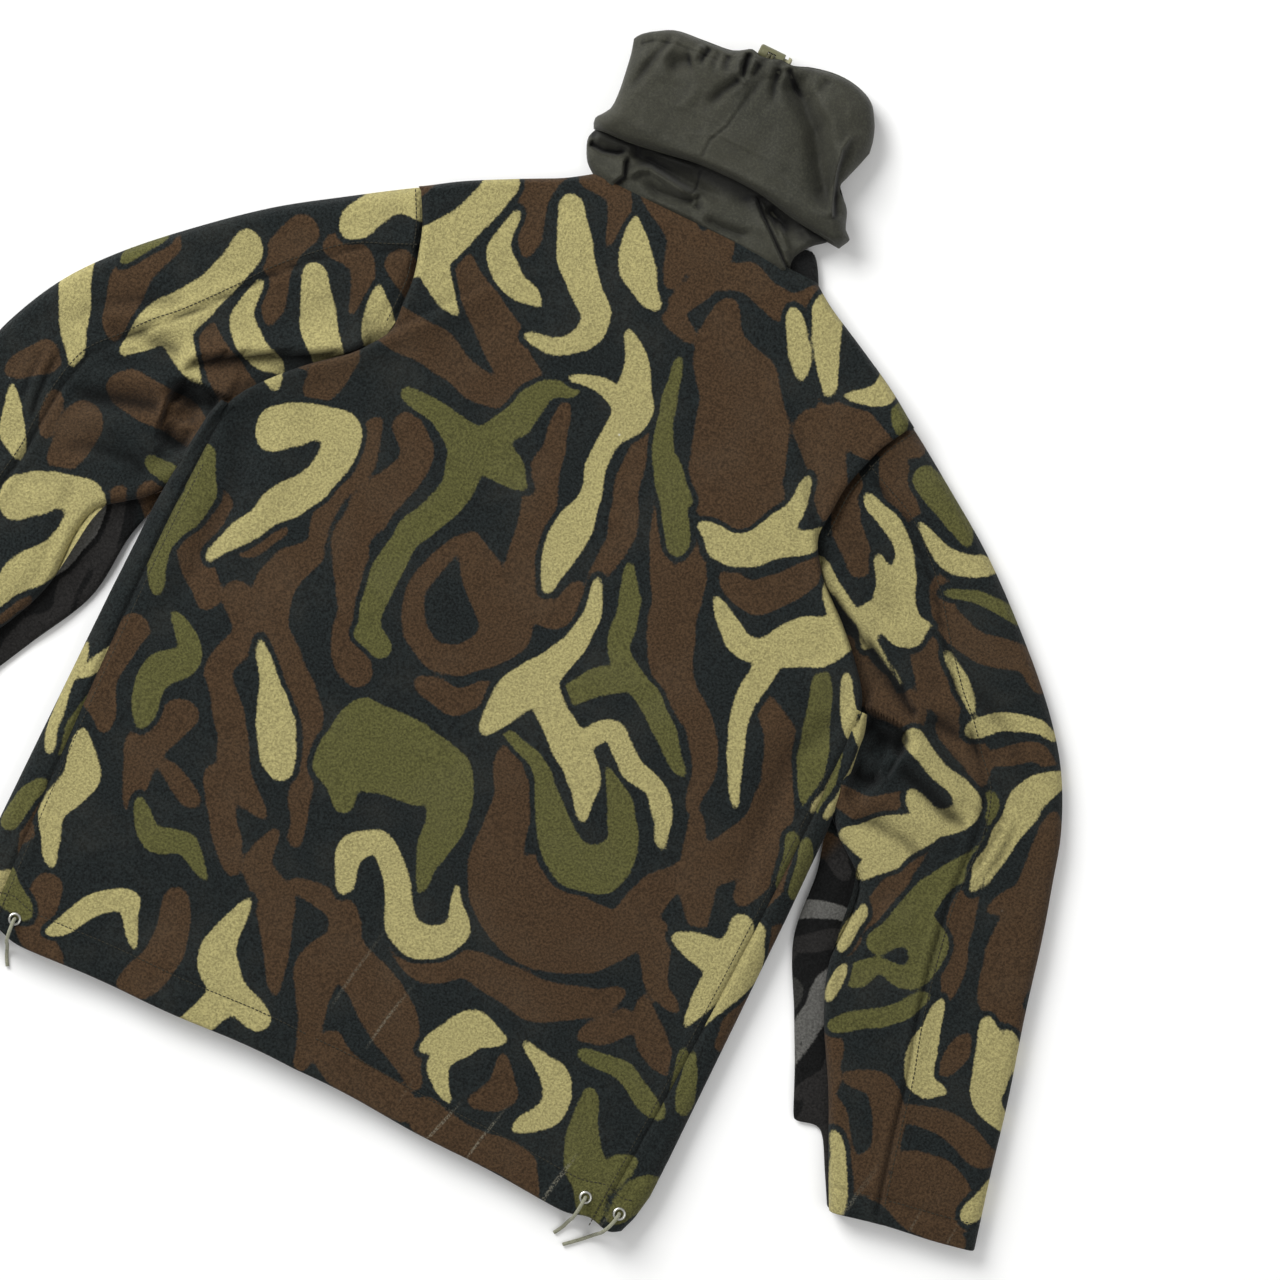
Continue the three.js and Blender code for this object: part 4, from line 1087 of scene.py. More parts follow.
def sleeve(mirror):
    name = "right" if mirror > 0 else "left"

    cuff = [(516, -260), (485, -266), (445, -272), (405, -281)]
    plan = coons(SLEEVE_OUTER, SLEEVE_INNER, ARMHOLE_HIDDEN, cuff, SLEEVE_ROWS, SLEEVE_ACROSS)
    x, y = plan[..., 0], plan[..., 1]
    outer, _ = beside(x, y, spline(SLEEVE_OUTER, step=6))
    inner, _ = beside(x, y, spline(SLEEVE_INNER, step=6))
    outer, inner = np.abs(outer), np.abs(inner)
    z = sleeve_height(x, y, mirror)
    cuff_away = np.abs(beside(x, y, cuff)[0])
    z = z - 0.9 * np.exp(-(((cuff_away - CUFF_STITCH) / 1.5) ** 2))
    z = z + 0.5 * np.exp(-(((cuff_away - CUFF_STITCH / 2) / 5) ** 2))
    # painted shade in the sleeve's hollows
    crease_shade = hollow_shade(z, 9, 3.4)
    z = roll_height(outer, 11, z, 10.5)
    fade = smooth(60, 20, y)
    z = np.where(fade > 0, z * (1 - fade) + fade * roll_height(inner, 8, z, 9.5), z)
    hidden = 1 - smooth(0, 14, np.abs(beside(x, y, ARMHOLE_HIDDEN[5:])[0]))
    z = z - 6 * hidden * (1 - smooth(150, 176, y)) * smooth(-30, 10, y)
    # at the shoulder the sleeve starts just under the back panel's edge
    z = z - 3.2 * (1 - smooth(8, 15, np.abs(beside(x, y, ARMHOLE_HIDDEN[:6])[0]))) * smooth(160, 185, y)
    upper = np.stack([x, y, z], 2)
    # the under layer runs back along the table from the inner edge to the outer one
    rows_t = np.linspace(0, 1, SLEEVE_ROWS)
    under_line = spline(UNDER_INNER, step=3, count=SLEEVE_ROWS)
    inner_line = spline(SLEEVE_INNER, step=3, count=SLEEVE_ROWS)
    outer_line = spline(SLEEVE_OUTER, step=3, count=SLEEVE_ROWS)
    tuck = inner_line + (outer_line - inner_line) * 0.10
    strips = []

    def strip(p, height):
        strips.append(np.stack([p[:, 0], p[:, 1], np.broadcast_to(height, (SLEEVE_ROWS,))], 1))

    strip(inner_line, 8.2)
    strip(tuck, 7.0)
    for k in np.linspace(0, 1, 10)[1:]:
        p = tuck * (1 - k) + under_line * k
        lift = 6.6 + 1.4 * np.sin(rows_t * 26 + k * 3) * k + 1.2 * noise(p[:, 0], p[:, 1], 30, 41)
        strip(p, lift * (1 - 0.35 * k**4))
    strip(under_line - (outer_line - under_line) * 0.004, 3.2)
    strip(under_line + (outer_line - under_line) * 0.01, 0.8)
    for k in np.linspace(0, 1, 14)[1:]:
        p = under_line * (1 - k) + outer_line * k
        strip(p + (inner_line - outer_line) * 0.02 * k, 0.6 + 0.25 * np.sin(rows_t * 40 + k * 9) ** 2)
    strip(outer_line - (outer_line - inner_line) * 0.006, 3.5)
    strip(outer_line, 8.0)
    under = np.stack(strips, 1)
    rows = np.concatenate([upper, under], 1)
    columns = rows.shape[1]
    # the cuff turns under and runs back inside
    end = rows[-1]
    middle = end.mean(0)
    along = end - rows[-2]
    along /= np.linalg.norm(along, axis=1)[:, None]
    across = middle - end
    across[:, 2] *= 2.2
    across /= np.linalg.norm(across, axis=1)[:, None]
    turn = []
    for a in np.linspace(0, math.pi, 6)[1:]:
        turn.append(end + along * 1.9 * math.sin(a) + across * 1.9 * (1 - math.cos(a)))
    for run in (7, 14, 20):
        turn.append(end - along * run + across * 4.0)
    rows = np.concatenate([rows, np.array(turn)])
    faces = grid_faces(rows.shape[0], columns, closed=True)
    flip = mirror > 0
    rows[..., 0] *= mirror
    obj = mesh_object(f"sleeve_cloth_{name}", rows.reshape(-1, 3), faces[:, ::-1] if flip else faces, CAMO)
    px, py = rows[..., 0] * mirror, rows[..., 1].copy()
    shade = np.zeros(px.shape)
    shade[:, SLEEVE_ACROSS : SLEEVE_ACROSS + 14] = [0.45] + [1.0] * 11 + [0.6, 0.3]
    # painted shade: the sleeve's hollows, and a band beside the armpit fold where the body's cloth lies over
    # the sleeve
    dark = np.zeros(px.shape)
    dark[:SLEEVE_ROWS, :SLEEVE_ACROSS] = crease_shade
    dark[:SLEEVE_ROWS, :SLEEVE_ACROSS] += 0.55 * (1 - smooth(0, 9, np.abs(beside(x, y, ARMPIT_FOLD[3:])[0])))
    dark = np.clip(dark, 0, 1)
    hidden_side = shade > 0.5
    shade[:SLEEVE_ROWS] *= smooth(0.08, 0.14, rows_t)[:, None]
    # below the folded edge the print jumps, as it does on real folded cloth
    if mirror > 0:
        paint(obj, px + 70 * hidden_side, py + 190 * hidden_side, SLEEVE_PRINT, shade, dark)
    else:
        paint(obj, 150 - px, py + 130, BODY_PRINT, shade, dark)
    return obj


def cuff_inside(mirror):
    """Black reverse of the fleece just inside the cuff."""
    name = "right" if mirror > 0 else "left"
    a = np.array([404.0, -279.0])
    b = np.array([513.0, -257.0])
    back = np.array([-0.26, 0.965])
    rows = []
    for run in (8, 22, 40, 70):
        ring = []
        for i in range(40):
            t = 2 * math.pi * i / 40
            across = 0.5 + 0.44 * math.cos(t)
            p = a + (b - a) * across + back * run * (1 + 0.25 * (across - 0.5))
            ring.append((p[0] * mirror, p[1], 9.4 + 6.2 * math.sin(t)))
        rows.append(ring)
    rows = np.array(rows)
    faces = grid_faces(4, 40, closed=True)
    return mesh_object(f"cuff_lining_{name}", rows.reshape(-1, 3), faces if mirror > 0 else faces[:, ::-1],
                       LINING)


# ---------------------------------------------------------------- stitching


def stitches(name, line, height, mirror=1, length=2.5, pitch=3.3, thick=0.42, offset=0.0):
    """A row of thread stitches along a plan line, each a small flattened bead on the cloth."""
    p = spline(line, step=3)
    along = np.concatenate([[0], np.cumsum(np.linalg.norm(np.diff(p, axis=0), axis=1))])
    spots = np.arange(pitch, along[-1] - pitch, pitch)
    cx, cy = np.interp(spots, along, p[:, 0]), np.interp(spots, along, p[:, 1])
    dx = np.interp(spots + 1, along, p[:, 0]) - np.interp(spots - 1, along, p[:, 0])
    dy = np.interp(spots + 1, along, p[:, 1]) - np.interp(spots - 1, along, p[:, 1])
    size = np.hypot(dx, dy)
    dx, dy = dx / size, dy / size
    cx, cy = cx - dy * offset, cy + dx * offset
    vertices, faces = [], []
    shares = [(-0.5, 0.35), (-0.3, 0.9), (0.0, 1.0), (0.3, 0.9), (0.5, 0.35)]
    for k in range(len(spots)):
        z0 = height(np.array([cx[k]]), np.array([cy[k]]))[0]
        first = len(vertices)
        for share, fat in shares:
            x0, y0 = cx[k] + dx[k] * share * length, cy[k] + dy[k] * share * length
            for i in range(6):
                a = math.pi * i / 3
                w = thick * fat
                vertices.append(((x0 - dy[k] * w * math.cos(a)) * mirror, y0 + dx[k] * w * math.cos(a),
                                 z0 + 0.15 * fat + w * math.sin(a)))
        faces += (grid_faces(5, 6, closed=True) + first).tolist()
    return mesh_object(name, vertices, faces, THREAD)


# ---------------------------------------------------------------- hem fittings

TAIL_BACK = [(0, 0, 0), (0, -0.1, 1.8), (0, -0.6, 3.6), (-0.2, -2.2, 5.4), (-0.4, -4.6, 6.5),
             (-0.7, -7.6, 7), (-1, -10.8, 6.7), (-1.4, -14, 5.4), (-1.7, -16.4, 2.8), (-2, -18.2, -1.2),
             (-2.2, -19.3, -6), (-2.4, -20.2, -11.2), (-2.8, -21.8, -16.2), (-3.6, -24.6, -20.2),
             (-5, -28.6, -22.1), (-7.2, -32.8, -22.5), (-9.2, -36, -22.5)]
TAIL_FRONT = [(0, 0, 0), (0, -0.2, 1.8), (0, -0.8, 3.6), (-0.3, -2.4, 5.4), (-0.8, -4.8, 6.5),
              (-1.6, -7.8, 6.9), (-2.6, -11, 6.5), (-3.8, -14, 5.1), (-4.9, -16.6, 2.4), (-5.8, -18.6, -1.6),
              (-6.6, -20, -6.4), (-7.6, -21.4, -11.6), (-9, -23.2, -16.4), (-11.2, -25.8, -20.2),
              (-14.4, -29.2, -22.1), (-18.6, -33.2, -22.5), (-23, -37.2, -22.5), (-27.4, -41, -22.5)]
CORD_DIAMETER = 2.8


def hem_cord_tail(place, side, points):
    mirror = 1 if side == "right" else -1
    ex, ey, _ = EYELETS[place, side]
    route = [(ex + mirror * x, ey + y, TOP + z) for x, y, z in points]
    line = spline(route, step=1.2)
    obj = tube(f"cord_tail_{place}_{side}", line, [CORD_DIAMETER / 2] * 40 + [CORD_DIAMETER / 2 * 0.97],
               CORD, sides=14)
    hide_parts(f"hem_cord_end_{place}_{side}")
    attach(obj, "garment")


for _side in ("right", "left"):
    hem_cord_tail("back", _side, TAIL_BACK)
    hem_cord_tail("front", _side, TAIL_FRONT)


def eyelet(place, side):
    """A rolled nickel ring over the CAD's plain one."""
    ex, ey, _ = EYELETS[place, side]
    profile = [(2.9, -2.5), (2.9, 0.5), (3.05, 1.05), (3.5, 1.35), (4.1, 1.3), (4.7, 0.95), (5.0, 0.5),
               (4.95, 0.25), (3.3, 0.2), (3.3, -2.5)]
    sides = 40
    vertices = []
    for i in range(sides):
        a = 2 * math.pi * i / sides
        for r, h in profile:
            vertices.append((ex + r * math.cos(a), ey + r * math.sin(a), TOP + h))
    faces = []
    m = len(profile)
    for i in range(sides):
        for k in range(m):
            a0, a1 = i * m + k, i * m + (k + 1) % m
            b0, b1 = ((i + 1) % sides) * m + k, ((i + 1) % sides) * m + (k + 1) % m
            faces.append((a0, b0, b1, a1))
    obj = mesh_object(f"eyelet_ring_{place}_{side}", vertices, [f[::-1] for f in faces], STEEL)
    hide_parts(f"hem_eyelet_{place}_{side}")
    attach(obj, "garment")


for _place, _side in EYELETS:
    eyelet(_place, _side)

# ---------------------------------------------------------------- the garment's pieces


def own(obj, body, slot, *nodes):
    if nodes:
        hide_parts(*nodes)
    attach(obj, body)


back = back_panel()
own(back, "garment", "camo_fleece", "back_panel", "hem_casing_back")
front = joined("front_cloth", [front_bottom(), side_strip(1), side_strip(-1)])
own(front, "garment", "camo_fleece", "front_panel", "hem_casing_front")
own(lining("back_reverse", lambda x, y: body_height(x, y) - 5.5, True), "garment", "lining")
own(lining("front_reverse", lambda x, y: 3.0 + 0 * x, False), "garment", "lining")


def bend_with_sleeve(obj):
    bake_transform(obj)


def sleeve_top(mirror):
    return lambda x, y: sleeve_height(x, y, mirror)


for _side, _mirror in (("right", 1), ("left", -1)):
    cloth = sleeve(_mirror)
    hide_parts(f"sleeve_upper_{_side}", f"sleeve_under_{_side}")
    bend_with_sleeve(cloth)
    inside = cuff_inside(_mirror)
    own(inside, f"sleeve_{_side}", "lining", f"cuff_facing_{_side}")
    for _n, _line in enumerate((SLEEVE_SEAM, ARMHOLE)):
        row = stitches(f"sleeve_stitch_{_n}_{_side}", _line, sleeve_top(_mirror), _mirror,
                       offset=TOPSTITCH)
        bend_with_sleeve(row)
    _hem = [(x, float(hem_line(np.array([x]))[0]) + HEM_DEPTH) for x in np.linspace(2, 272, 40)]
    hem_row = stitches(f"hem_stitch_{_side}", _hem, lambda x, y: body_height(x * _mirror, y) - 0.6, _mirror)
    own(hem_row, "garment", "camo_fleece")
    side_row = stitches(f"side_stitch_{_side}", SIDE_SEAM[:-1],
                        lambda x, y: body_height(x * _mirror, y) + 0.4, _mirror, offset=TOPSTITCH)
    own(side_row, "garment", "camo_fleece")
    cuff_row = stitches(f"cuff_stitch_{_side}", [(508, -243), (480, -248.5), (444, -255), (414, -262)],
                        lambda x, y: sleeve_height(x, y, _mirror) - 0.6, _mirror)
    own(cuff_row, f"sleeve_{_side}", "camo_fleece")

# ---------------------------------------------------------------- mask
MASK_LEFT = [(-108, 369), (-110, 376), (-103, 387), (-102.5, 400), (-104.5, 416), (-107, 431), (-110, 442)]
MASK_RIGHT = [(97, 369), (101, 377.5), (95, 383), (89, 397), (77.5, 409), (79, 418), (83, 431), (86, 442)]
MASK_LIP = [(-108, 369), (-80, 370.5), (-50, 375), (-20, 379), (22, 379), (60, 372.5), (97, 369)]
MASK_TOP = [(-110, 442), (-107, 447), (-98, 454), (-84, 461), (-62, 463.5), (-40, 466), (-27, 472.5),
            (-20, 470.5), (-12, 471.5), (-4, 474.5), (6, 474.5), (20, 480.5), (38, 484), (55, 483),
            (70, 477), (79, 465), (84, 453), (86, 442)]
MASK_ROWS = 150
MASK_ACROSS = 170
CORD_X = -12


def mask_height(x, y):
    """Top layer of the rolled mask over the table."""
    return 31.5 + 1.55 * mask_folds(x, y)


# pressed crease lines and the seam down the back of the mask
MASK_CREASES = [
    (ridge, [(-78, 384), (-45, 393), (-20, 404), (20, 404), (45, 396), (80, 386)], 0.4, 1.6, 0.1, 0.1),
    (ridge, [(-98, 405), (-40, 412), (-8, 413), (20, 404)], 0.25, 1.8, 0.1, 0.1),
    (ridge, [(-25, 382), (-25, 398), (-18, 412), (-15, 432), (-14, 446)], -0.6, 1.1, 0.05, 0.3),
    (ridge, [(-27.5, 382), (-27.5, 398), (-20.5, 412), (-17.5, 432)], 0.25, 1.2, 0.05, 0.3),
]


# the right-hand flap of the mask folds over itself
MASK_FLAP = [
    (overhang, [(83, 383), (77, 398), (70, 418), (67, 434), (70, 452)], 3.2, 5, 4.2, 7, 1.0, 0.1, 0.3),
    (ridge, [(82, 384), (74, 403), (68, 424), (68, 442), (76, 458)], 2.4, 2.2, 0.05, 0.4),
    (ridge, [(6, 468), (24, 455), (42, 440), (56, 420), (72, 396), (80, 386)], -7.5, 8.5, 0.1, 0.2),
    (ridge, [(28, 462), (50, 450), (62, 430), (72, 406)], 3.6, 8, 0.2, 0.3),
    (ridge, [(3, 472), (16, 461), (26, 456)], -3.6, 2.4, 0.1, 0.4),
]


def mask_folds(x, y):
    z = 1.5 * noise(x, y, 60, 51) + 0.8 * noise(x, y, 26, 52) + 0.35 * noise(x, y, 12, 53) + 0.18 * noise(x,
                                                                                                          y,
                                                                                                          6,
                                                                                                          54)
    z = z + 3.5 * np.exp(-(((y - 384) / 9) ** 2))
    z = folded(z, x, y, MASK_FLAP)
    # gathers drawn towards the cord
    for start, end, depth, width in (
        ((-27, 471), (-22, 446), 4.2, 2.6), ((-40, 462), (-36, 446), 2.2, 3.0),
        ((-55, 461), (-56, 442), 2.8, 3.0),
        ((-48, 462), (-44, 440), 1.4, 3.0), ((-23, 450), (-40, 416), 4.0, 4.4),
        ((-8, 462), (-14, 424), 1.4, 3.4),
        ((-2, 470), (6, 440), 3.0, 3.4), ((-17, 466), (-16, 452), 1.8, 2.4),
        ((-62, 446), (-80, 430), 4.6, 6.5),
        ((-82, 458), (-97, 396), 2.6, 4.0), ((-104, 440), (-92, 448), 1.0, 4.0),
        ((36, 478), (32, 462), 1.6, 3.5)):
        middle = ((start[0] + end[0]) / 2 - 1.5, (start[1] + end[1]) / 2)
        z = z + ridge(x, y, [start, middle, end], -depth, width, 0.15, 0.45)
    # and the small ridges between them
    for start, end, rise, width in (
        ((-80, 458), (-88, 430), 1.9, 3.4), ((-32, 464), (-28, 446), 1.8, 2.6),
        ((-20, 452), (-32, 428), 2.0, 3.2),
        ((-62, 460), (-63, 445), 1.4, 2.8), ((-22, 468), (-21, 452), 1.8, 2.0),
        ((-6, 470), (-8, 456), 1.2, 2.4),
        ((-50, 432), (-56, 405), 1.3, 5.0)):
        middle = ((start[0] + end[0]) / 2 + 1.2, (start[1] + end[1]) / 2)
        z = z + ridge(x, y, [start, middle, end], rise, width, 0.2, 0.5)
    z = folded(z, x, y, MASK_CREASES)
    # the stitched edge of the drawcord casing
    away, along = beside(x, y, [(-106, 438), (-96, 446), (-80, 451), (-62, 452.5), (-38, 455)])
    z = z - 0.7 * taper(along, 0.1, 0.2) * np.exp(-((away / 1.0) ** 2))
    return z


def mask_roll():
    plan = coons(MASK_LEFT, MASK_RIGHT, MASK_LIP, MASK_TOP, MASK_ROWS, MASK_ACROSS)
    x, y = plan[..., 0], plan[..., 1]
    outline = {}
    for name, line in (("left", MASK_LEFT), ("right", MASK_RIGHT), ("lip", MASK_LIP), ("top", MASK_TOP)):
        outline[name] = np.abs(beside(x, y, spline(line, step=4))[0])
    z = mask_height(x, y)
    gather = np.exp(-(((x - CORD_X - 3) / 24) ** 4))
    z = z - 7 * smooth(20, 0, outline["top"]) * (1 - gather)
    z = z + 1.5 * gather * smooth(26, 0, outline["top"]) * np.sin(x / 1.9)
    # painted shade in the mask's hollows
    crease_shade = hollow_shade(z, 8, 2.0)
    for name, radius, middle in (("left", 13, 15), ("right", 11, 15), ("top", 7, 14 + 13.5 * gather)):
        z = roll_height(outline[name], radius, z, middle)
    z = roll_height(outline["lip"], 5.5, z, z - 9)
    top = np.stack([x, y, z], 2)
    # under side, right edge back to left edge
    shares = np.linspace(0, 1, 44)[1:-1]
    left, right = top[:, 0], top[:, -1]
    t = np.linspace(0, 1, MASK_ROWS)
    under = []
    low = 2.2
    for share in shares:
        p = right * (1 - share) + left * share
        near = top[:, int(round((1 - share) * (MASK_ACROSS - 1)))]
        # by the cord the under layer stops short, which leaves the lock room to slide down
        pull = np.exp(-(((near[-1, 0] - CORD_X - 3) / 18) ** 6)) * max(near[-1, 1] - 467, 0)
        y_under = near[:, 1] - pull * smooth(0.8, 1.0, t)
        edge = np.minimum(share, 1 - share) * 200
        height = low + (13 - low) * np.clip(1 - edge / 12, 0, 1) ** 2 + 0.7 * noise(p[:, 0], y_under, 34, 61)
        height = height + 6.5 * smooth(0.92, 1.0, t) * smooth(0, 14, edge)
        under.append(np.stack([near[:, 0], y_under, height], 1))
    rows = np.concatenate([top, np.stack(under, 1)], 1)
    columns = rows.shape[1]

    def turned_in(end, depth, steps, open_at_cord):
        """Rows that curl in from an open end of the tube and run back inside it."""
        centre = end.mean(0)
        # at the cord the mouth stays open, so that the lock can slide into it
        open_here = np.exp(-(((end[:, 0] - CORD_X - 3) / 26) ** 4)) if open_at_cord else np.zeros(len(end))
        out = []
        for along, share in steps:
            ring = centre + (end - centre) * [1 - share * 0.02, 1, 1]
            ring[:, 2] = centre[2] + (end[:, 2] - centre[2]) * (1 - share * depth * (1 - 0.9 * open_here))
            ring[:, 1] = end[:, 1] + along
            out.append(ring)
        return out

    top_steps = ((0.5, 0.4), (0.4, 1.2), (-0.6, 2.0), (-4, 2.6), (-10, 3.0))
    lip_steps = ((-0.5, 0.4), (-0.5, 1.2), (0.4, 2.0), (4, 2.6), (14, 3.0))
    last = turned_in(rows[-1], 0.1, top_steps, True)
    first = turned_in(rows[0], 0.1, lip_steps, False)
    rows = np.concatenate([np.array(first[::-1]), rows, np.array(last)])
    faces = grid_faces(rows.shape[0], columns, closed=True)
    obj = mesh_object("mask_cloth", rows.reshape(-1, 3), faces, NYLON)
    dark = np.zeros(rows.shape[:2])
    dark[len(first) : len(first) + MASK_ROWS, :MASK_ACROSS] = crease_shade
    set_attribute(obj, "crease_shade", dark)
    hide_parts("mask_face_right", "mask_face_left", "mask_cord_casing", "mask_cord_patch")
    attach(obj, "mask_roll")


mask_roll()

NECK_LEFT = [(-84, 333), (-92, 337), (-101, 344), (-107, 355), (-108.5, 362), (-106, 369), (-101, 380),
             (-96, 394), (-92, 410)]
NECK_RIGHT = [(73, 333), (70, 340), (69.5, 348), (77, 360), (86, 368), (90, 376), (89, 384), (80, 396),
              (64, 410)]
NECK_ROWS = 130
NECK_ACROSS = 200


def neck_height(x, y):
    """Crumpled lower part of the mask, between the neck seam and the roll."""
    return 20.0 + 1.8 * neck_folds(x, y)


# its folds near the roll and on the right, where it crosses over itself
NECK_FRONT_FOLDS = [
    (ridge, [(-62, 368), (-40, 373), (-20, 376)], 2.6, 4, 0.3, 0.3),
    (overhang, [(70, 335), (58, 345), (44, 357), (32, 367), (22, 377)], 4.6, 7, 4.4, 6, 1.2, 0.06, 0.1),
    (ridge, [(26, 376), (40, 365), (54, 352), (70, 339)], 2.6, 2.2, 0.1, 0.1),
    (ridge, [(34, 373), (48, 367), (62, 364)], -5.2, 5.0, 0.2, 0.4),
    (ridge, [(44, 369), (56, 356), (66, 346)], 2.4, 2.6, 0.3, 0.2),
    (ridge, [(60, 372), (74, 366), (86, 368)], 2.6, 4.0, 0.3, 0.2),
    (ridge, [(-6, 344), (10, 343), (26, 345), (36, 350)], -2.8, 3.6, 0.2, 0.3),
    (ridge, [(-60, 339), (-20, 341), (20, 339.5), (60, 337)], 1.3, 2.6, 0.2, 0.2),
    (ridge, [(-22, 376), (-19, 362), (-22, 350)], -0.8, 0.9, 0.1, 0.3),
]


# folds of the neck section on the left and across its middle
NECK_LEFT_FOLDS = [
    (ridge, [(-106, 364), (-90, 366), (-70, 367), (-50, 372)], 3.4, 4.5, 0.1, 0.3),
    (ridge, [(-106, 357.5), (-94, 357), (-84, 360), (-76, 366)], -4.4, 2.4, 0.05, 0.3),
    (overhang, [(-77, 336), (-72, 346), (-76, 356), (-75, 362)], 3.2, 4, 3.4, 5, 0.9, 0.2, 0.2),
    (ridge, [(-70, 344), (-64, 355), (-56, 359.5), (-42, 357.5), (-26, 355), (-14, 356)], 4.2, 3.2, 0.15,
     0.25),
    (ridge, [(-78, 366), (-60, 366), (-34, 363), (-12, 362), (10, 362)], -5.0, 5.0, 0.1, 0.3),
    (ridge, [(-60, 350), (-44, 347), (-26, 349), (-15, 353)], -3.0, 3.2, 0.3, 0.1),
    (ridge, [(-18, 358), (-12, 353), (-12, 346)], -3.0, 4.2, 0.3, 0.3),
]


def neck_folds(x, y):
    z = 1.4 * noise(x, y, 44, 71) + 0.9 * noise(x, y, 20, 72) + 0.4 * noise(x, y, 10, 73)
    z = z - 1.5 * smooth(344, 334, y)
    z = folded(z, x, y, NECK_LEFT_FOLDS)
    z = z - 3.2 * smooth(354, 372, y + 7 * smooth(-20, -100, x))
    z = folded(z, x, y, NECK_FRONT_FOLDS)
    return z


def mask_neck():
    plan = coons(NECK_LEFT, NECK_RIGHT, [(-84, 333), (-40, 334.5), (0, 335), (40, 334.5), (73, 333)],
                 [(-92, 410), (0, 411), (64, 410)], NECK_ROWS, NECK_ACROSS)
    x, y = plan[..., 0], plan[..., 1]
    left = np.abs(beside(x, y, spline(NECK_LEFT, step=4))[0])
    right = np.abs(beside(x, y, spline(NECK_RIGHT, step=4))[0])
    z = neck_height(x, y)
    # painted shade in the hollows, and a painted shadow along the roll's lip where it lies over the neck
    crease_shade = np.clip(hollow_shade(z, 8, 2.0) + 0.85 * smooth(360, 374, y + 5 * smooth(20, 90, np.abs(x))), 0, 1)
    under_roll = smooth(372, 382, y + 6 * smooth(20, 80, np.abs(x)))
    z = z * (1 - under_roll) + np.minimum(z, 19.5) * under_roll
    z = z - 2.5 * smooth(337, 333.5, y)
    z = roll_height(left, 9, z, 10)
    z = roll_height(right, 5, z, 12)
    top = np.stack([x, y, z], 2)
    shares = np.linspace(0, 1, 40)[1:-1]
    under = []
    for share in shares:
        near = top[:, int(round((1 - share) * (NECK_ACROSS - 1)))]
        edge = np.minimum(share, 1 - share) * 180
        height = 4.6 + 6 * np.clip(1 - edge / 9, 0, 1) ** 2
        under.append(np.stack([near[:, 0], near[:, 1], np.full(NECK_ROWS, height)], 1))
    rows = np.concatenate([top, np.stack(under, 1)], 1)
    faces = grid_faces(rows.shape[0], rows.shape[1], closed=True)
    obj = mesh_object("mask_neck_cloth", rows.reshape(-1, 3), faces, NYLON)
    dark = np.zeros(rows.shape[:2])
    dark[:, :NECK_ACROSS] = crease_shade
    set_attribute(obj, "crease_shade", dark)
    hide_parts("mask_neck_section")
    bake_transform(obj)


mask_neck()


def front_collar():
    """The neckline of the front panel, standing out beyond the mask on the right."""
    outline = [(-70, 327), (0, 329), (70, 326), (93, 327), (97, 331), (90, 346), (81, 357), (70, 356),
               (30, 350), (-40, 350), (-72, 340)]
    p = spline(outline + outline[:1], count=120)[:-1]
    centre = p.mean(0)
    rows = []
    for share, height in ((1, 2.2), (1.004, 4.2), (1, 6.6), (0.985, 8.2), (0.9, 9.0), (0.7, 9.2), (0.3, 9.2),
                          (0.02, 9.2)):
        q = centre + (p - centre) * share
        rows.append(np.stack([q[:, 0], q[:, 1], height + 0.9 * noise(q[:, 0], q[:, 1], 18,
                                                                     81) * (share < 1)], 1))
    for share in (0.9, 0.5, 0.02):
        q = centre + (p - centre) * share
        rows.insert(0, np.stack([q[:, 0], q[:, 1], np.full(len(p), 1.6)], 1))
    rows = np.array(rows)
    obj = mesh_object("front_collar", rows.reshape(-1, 3), grid_faces(rows.shape[0], 119, closed=True),
                      LINING)
    own(obj, "garment", "lining", "neck_tape")


front_collar()


def elastic():
    """The elastic: from its knot up through the lock, round inside the casing and back."""
    lock_low, lock_high = box_mm("cord_lock_body")
    lock_y = (lock_low[1] + lock_high[1]) / 2
    _, bead_high = box_mm("mask_cord_end")
    top_line = spline(MASK_TOP, step=6)

    def casing(x, height):
        y = np.interp(x, top_line[:, 0][:-8], top_line[:, 1][:-8])
        return (x, y - 9, height)

    def strand(side):
        x = CORD_X + side * 1.5
        return [(x, lock_y, bead_high[2] - 0.6), (x, lock_y, 12), (x, lock_y, 19), (x, lock_y, 24.5),
                (x, lock_y - 2, 26.5), (x + side, lock_y - 7, 25), (x + side * 5, lock_y - 11, 21)]

    upper_right = [casing(x, 18) for x in (14, 30, 50, 66)]
    lower = [(73, 452, 17), casing(60, 13), casing(20, 12), casing(-30, 12), casing(-70, 12), (-96, 442, 14)]
    upper_left = [casing(x, 18) for x in (-84, -66, -44, -34)]
    return strand(1) + upper_right + lower + upper_left + strand(-1)[::-1]


_elastic = tube("mask_elastic_cord", elastic(), 1.25, ELASTIC, sides=10, step=2.5)
own(_elastic, "mask_roll", "elastic", "mask_elastic")


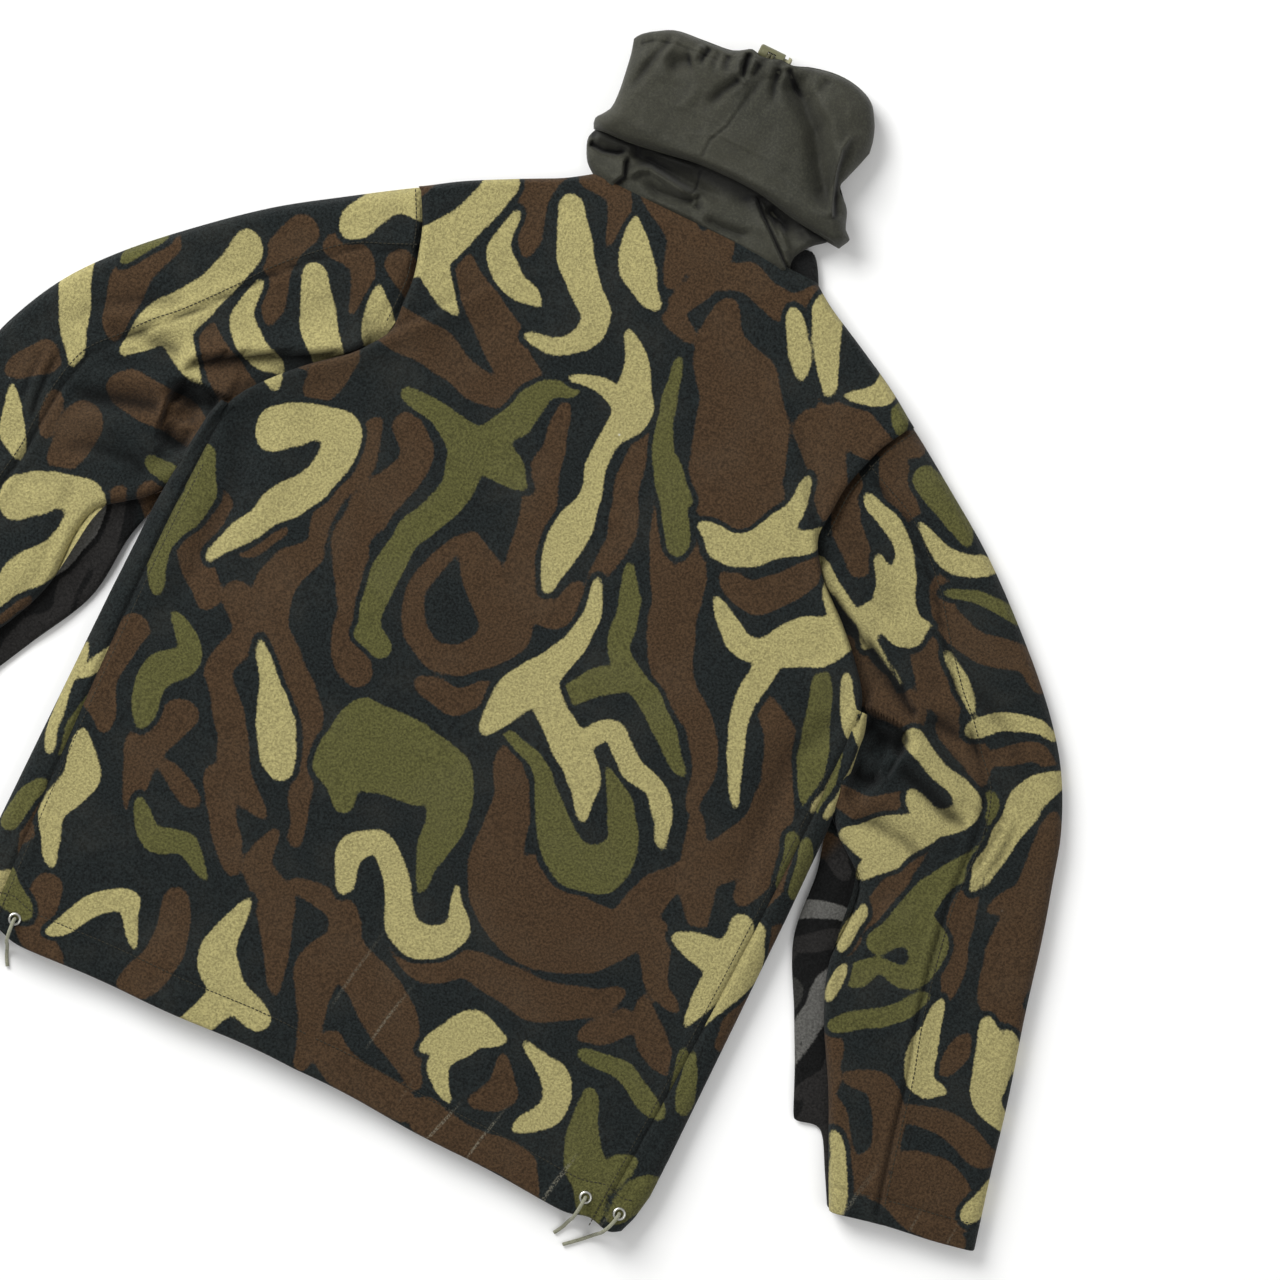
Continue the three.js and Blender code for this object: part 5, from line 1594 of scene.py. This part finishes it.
def lock_spring():
    """The coil behind the lock's button, which closes up as the button is pressed."""
    low, high = box_mm("cord_lock_spring")
    wire, turns, steps = 0.2, 3.5, 70
    y, z = (low[1] + high[1]) / 2, (low[2] + high[2]) / 2
    radius = (high[1] - low[1]) / 2 - wire
    coil = []
    for i in range(steps + 1):
        a = 2 * math.pi * turns * i / steps
        x = low[0] + wire + (high[0] - low[0] - 2 * wire) * i / steps
        coil.append((x, y + radius * math.cos(a), z + radius * math.sin(a)))
    obj = tube("lock_coil", coil, wire, SPRING, sides=8)
    own(obj, "cord_lock", "spring_steel", "cord_lock_spring")
    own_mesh(obj)


lock_spring()

# the lock, the bead and the hidden hem cords keep their CAD shapes and get their finishes
for _node, _material in (("mask_cord_end", LOCK), ("cord_lock_body", LOCK), ("cord_lock_plunger", BUTTON),
                         ("hem_cord_back", CORD), ("hem_cord_front", CORD)):
    _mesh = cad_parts[_node].data
    _mesh.materials.clear()
    _mesh.materials.append(_material)
    _mesh.polygons.foreach_set("material_index", [0] * len(_mesh.polygons))

# ---------------------------------------------------------------- floor and light


def studio():
    bpy.ops.mesh.primitive_plane_add(size=12, location=(0, 0, -0.0004))
    floor = bpy.context.object
    floor.name = "floor"
    n = Nodes("floor_paper")
    tone = n.mix(n.step(n.noise(3, 2.0), 0.3, 0.7), rgb(250, 250, 249), rgb(253, 253, 252))
    floor.data.materials.append(n.finish(tone, 0.9, n.bump(n.noise(400, 2.0), 0.03, 0.0002), specular=0.1))
    world = bpy.data.worlds.new("studio")
    world.use_nodes = True
    world.node_tree.nodes["Background"].inputs["Color"].default_value = (1, 1, 1, 1)
    world.node_tree.nodes["Background"].inputs["Strength"].default_value = 0.42
    bpy.context.scene.world = world

    def area(name, place, size, power, aim=(0.08, 0.05, 0)):
        light = bpy.data.lights.new(name, "AREA")
        light.shape = "RECTANGLE"
        light.size, light.size_y = size
        light.energy = power
        lamp = bpy.data.objects.new(name, light)
        lamp.location = place
        direction = np.array(aim) - np.array(place)
        lamp.rotation_euler = Vector(direction).to_track_quat("-Z", "Y").to_euler()
        bpy.context.scene.collection.objects.link(lamp)

    area("key", (-2.8, 1.4, 2.6), (2.4, 2.4), 185)
    area("fill", (2.6, -0.4, 3.2), (2.4, 2.4), 34)


studio()
bpy.context.scene.view_settings.view_transform = "Standard"
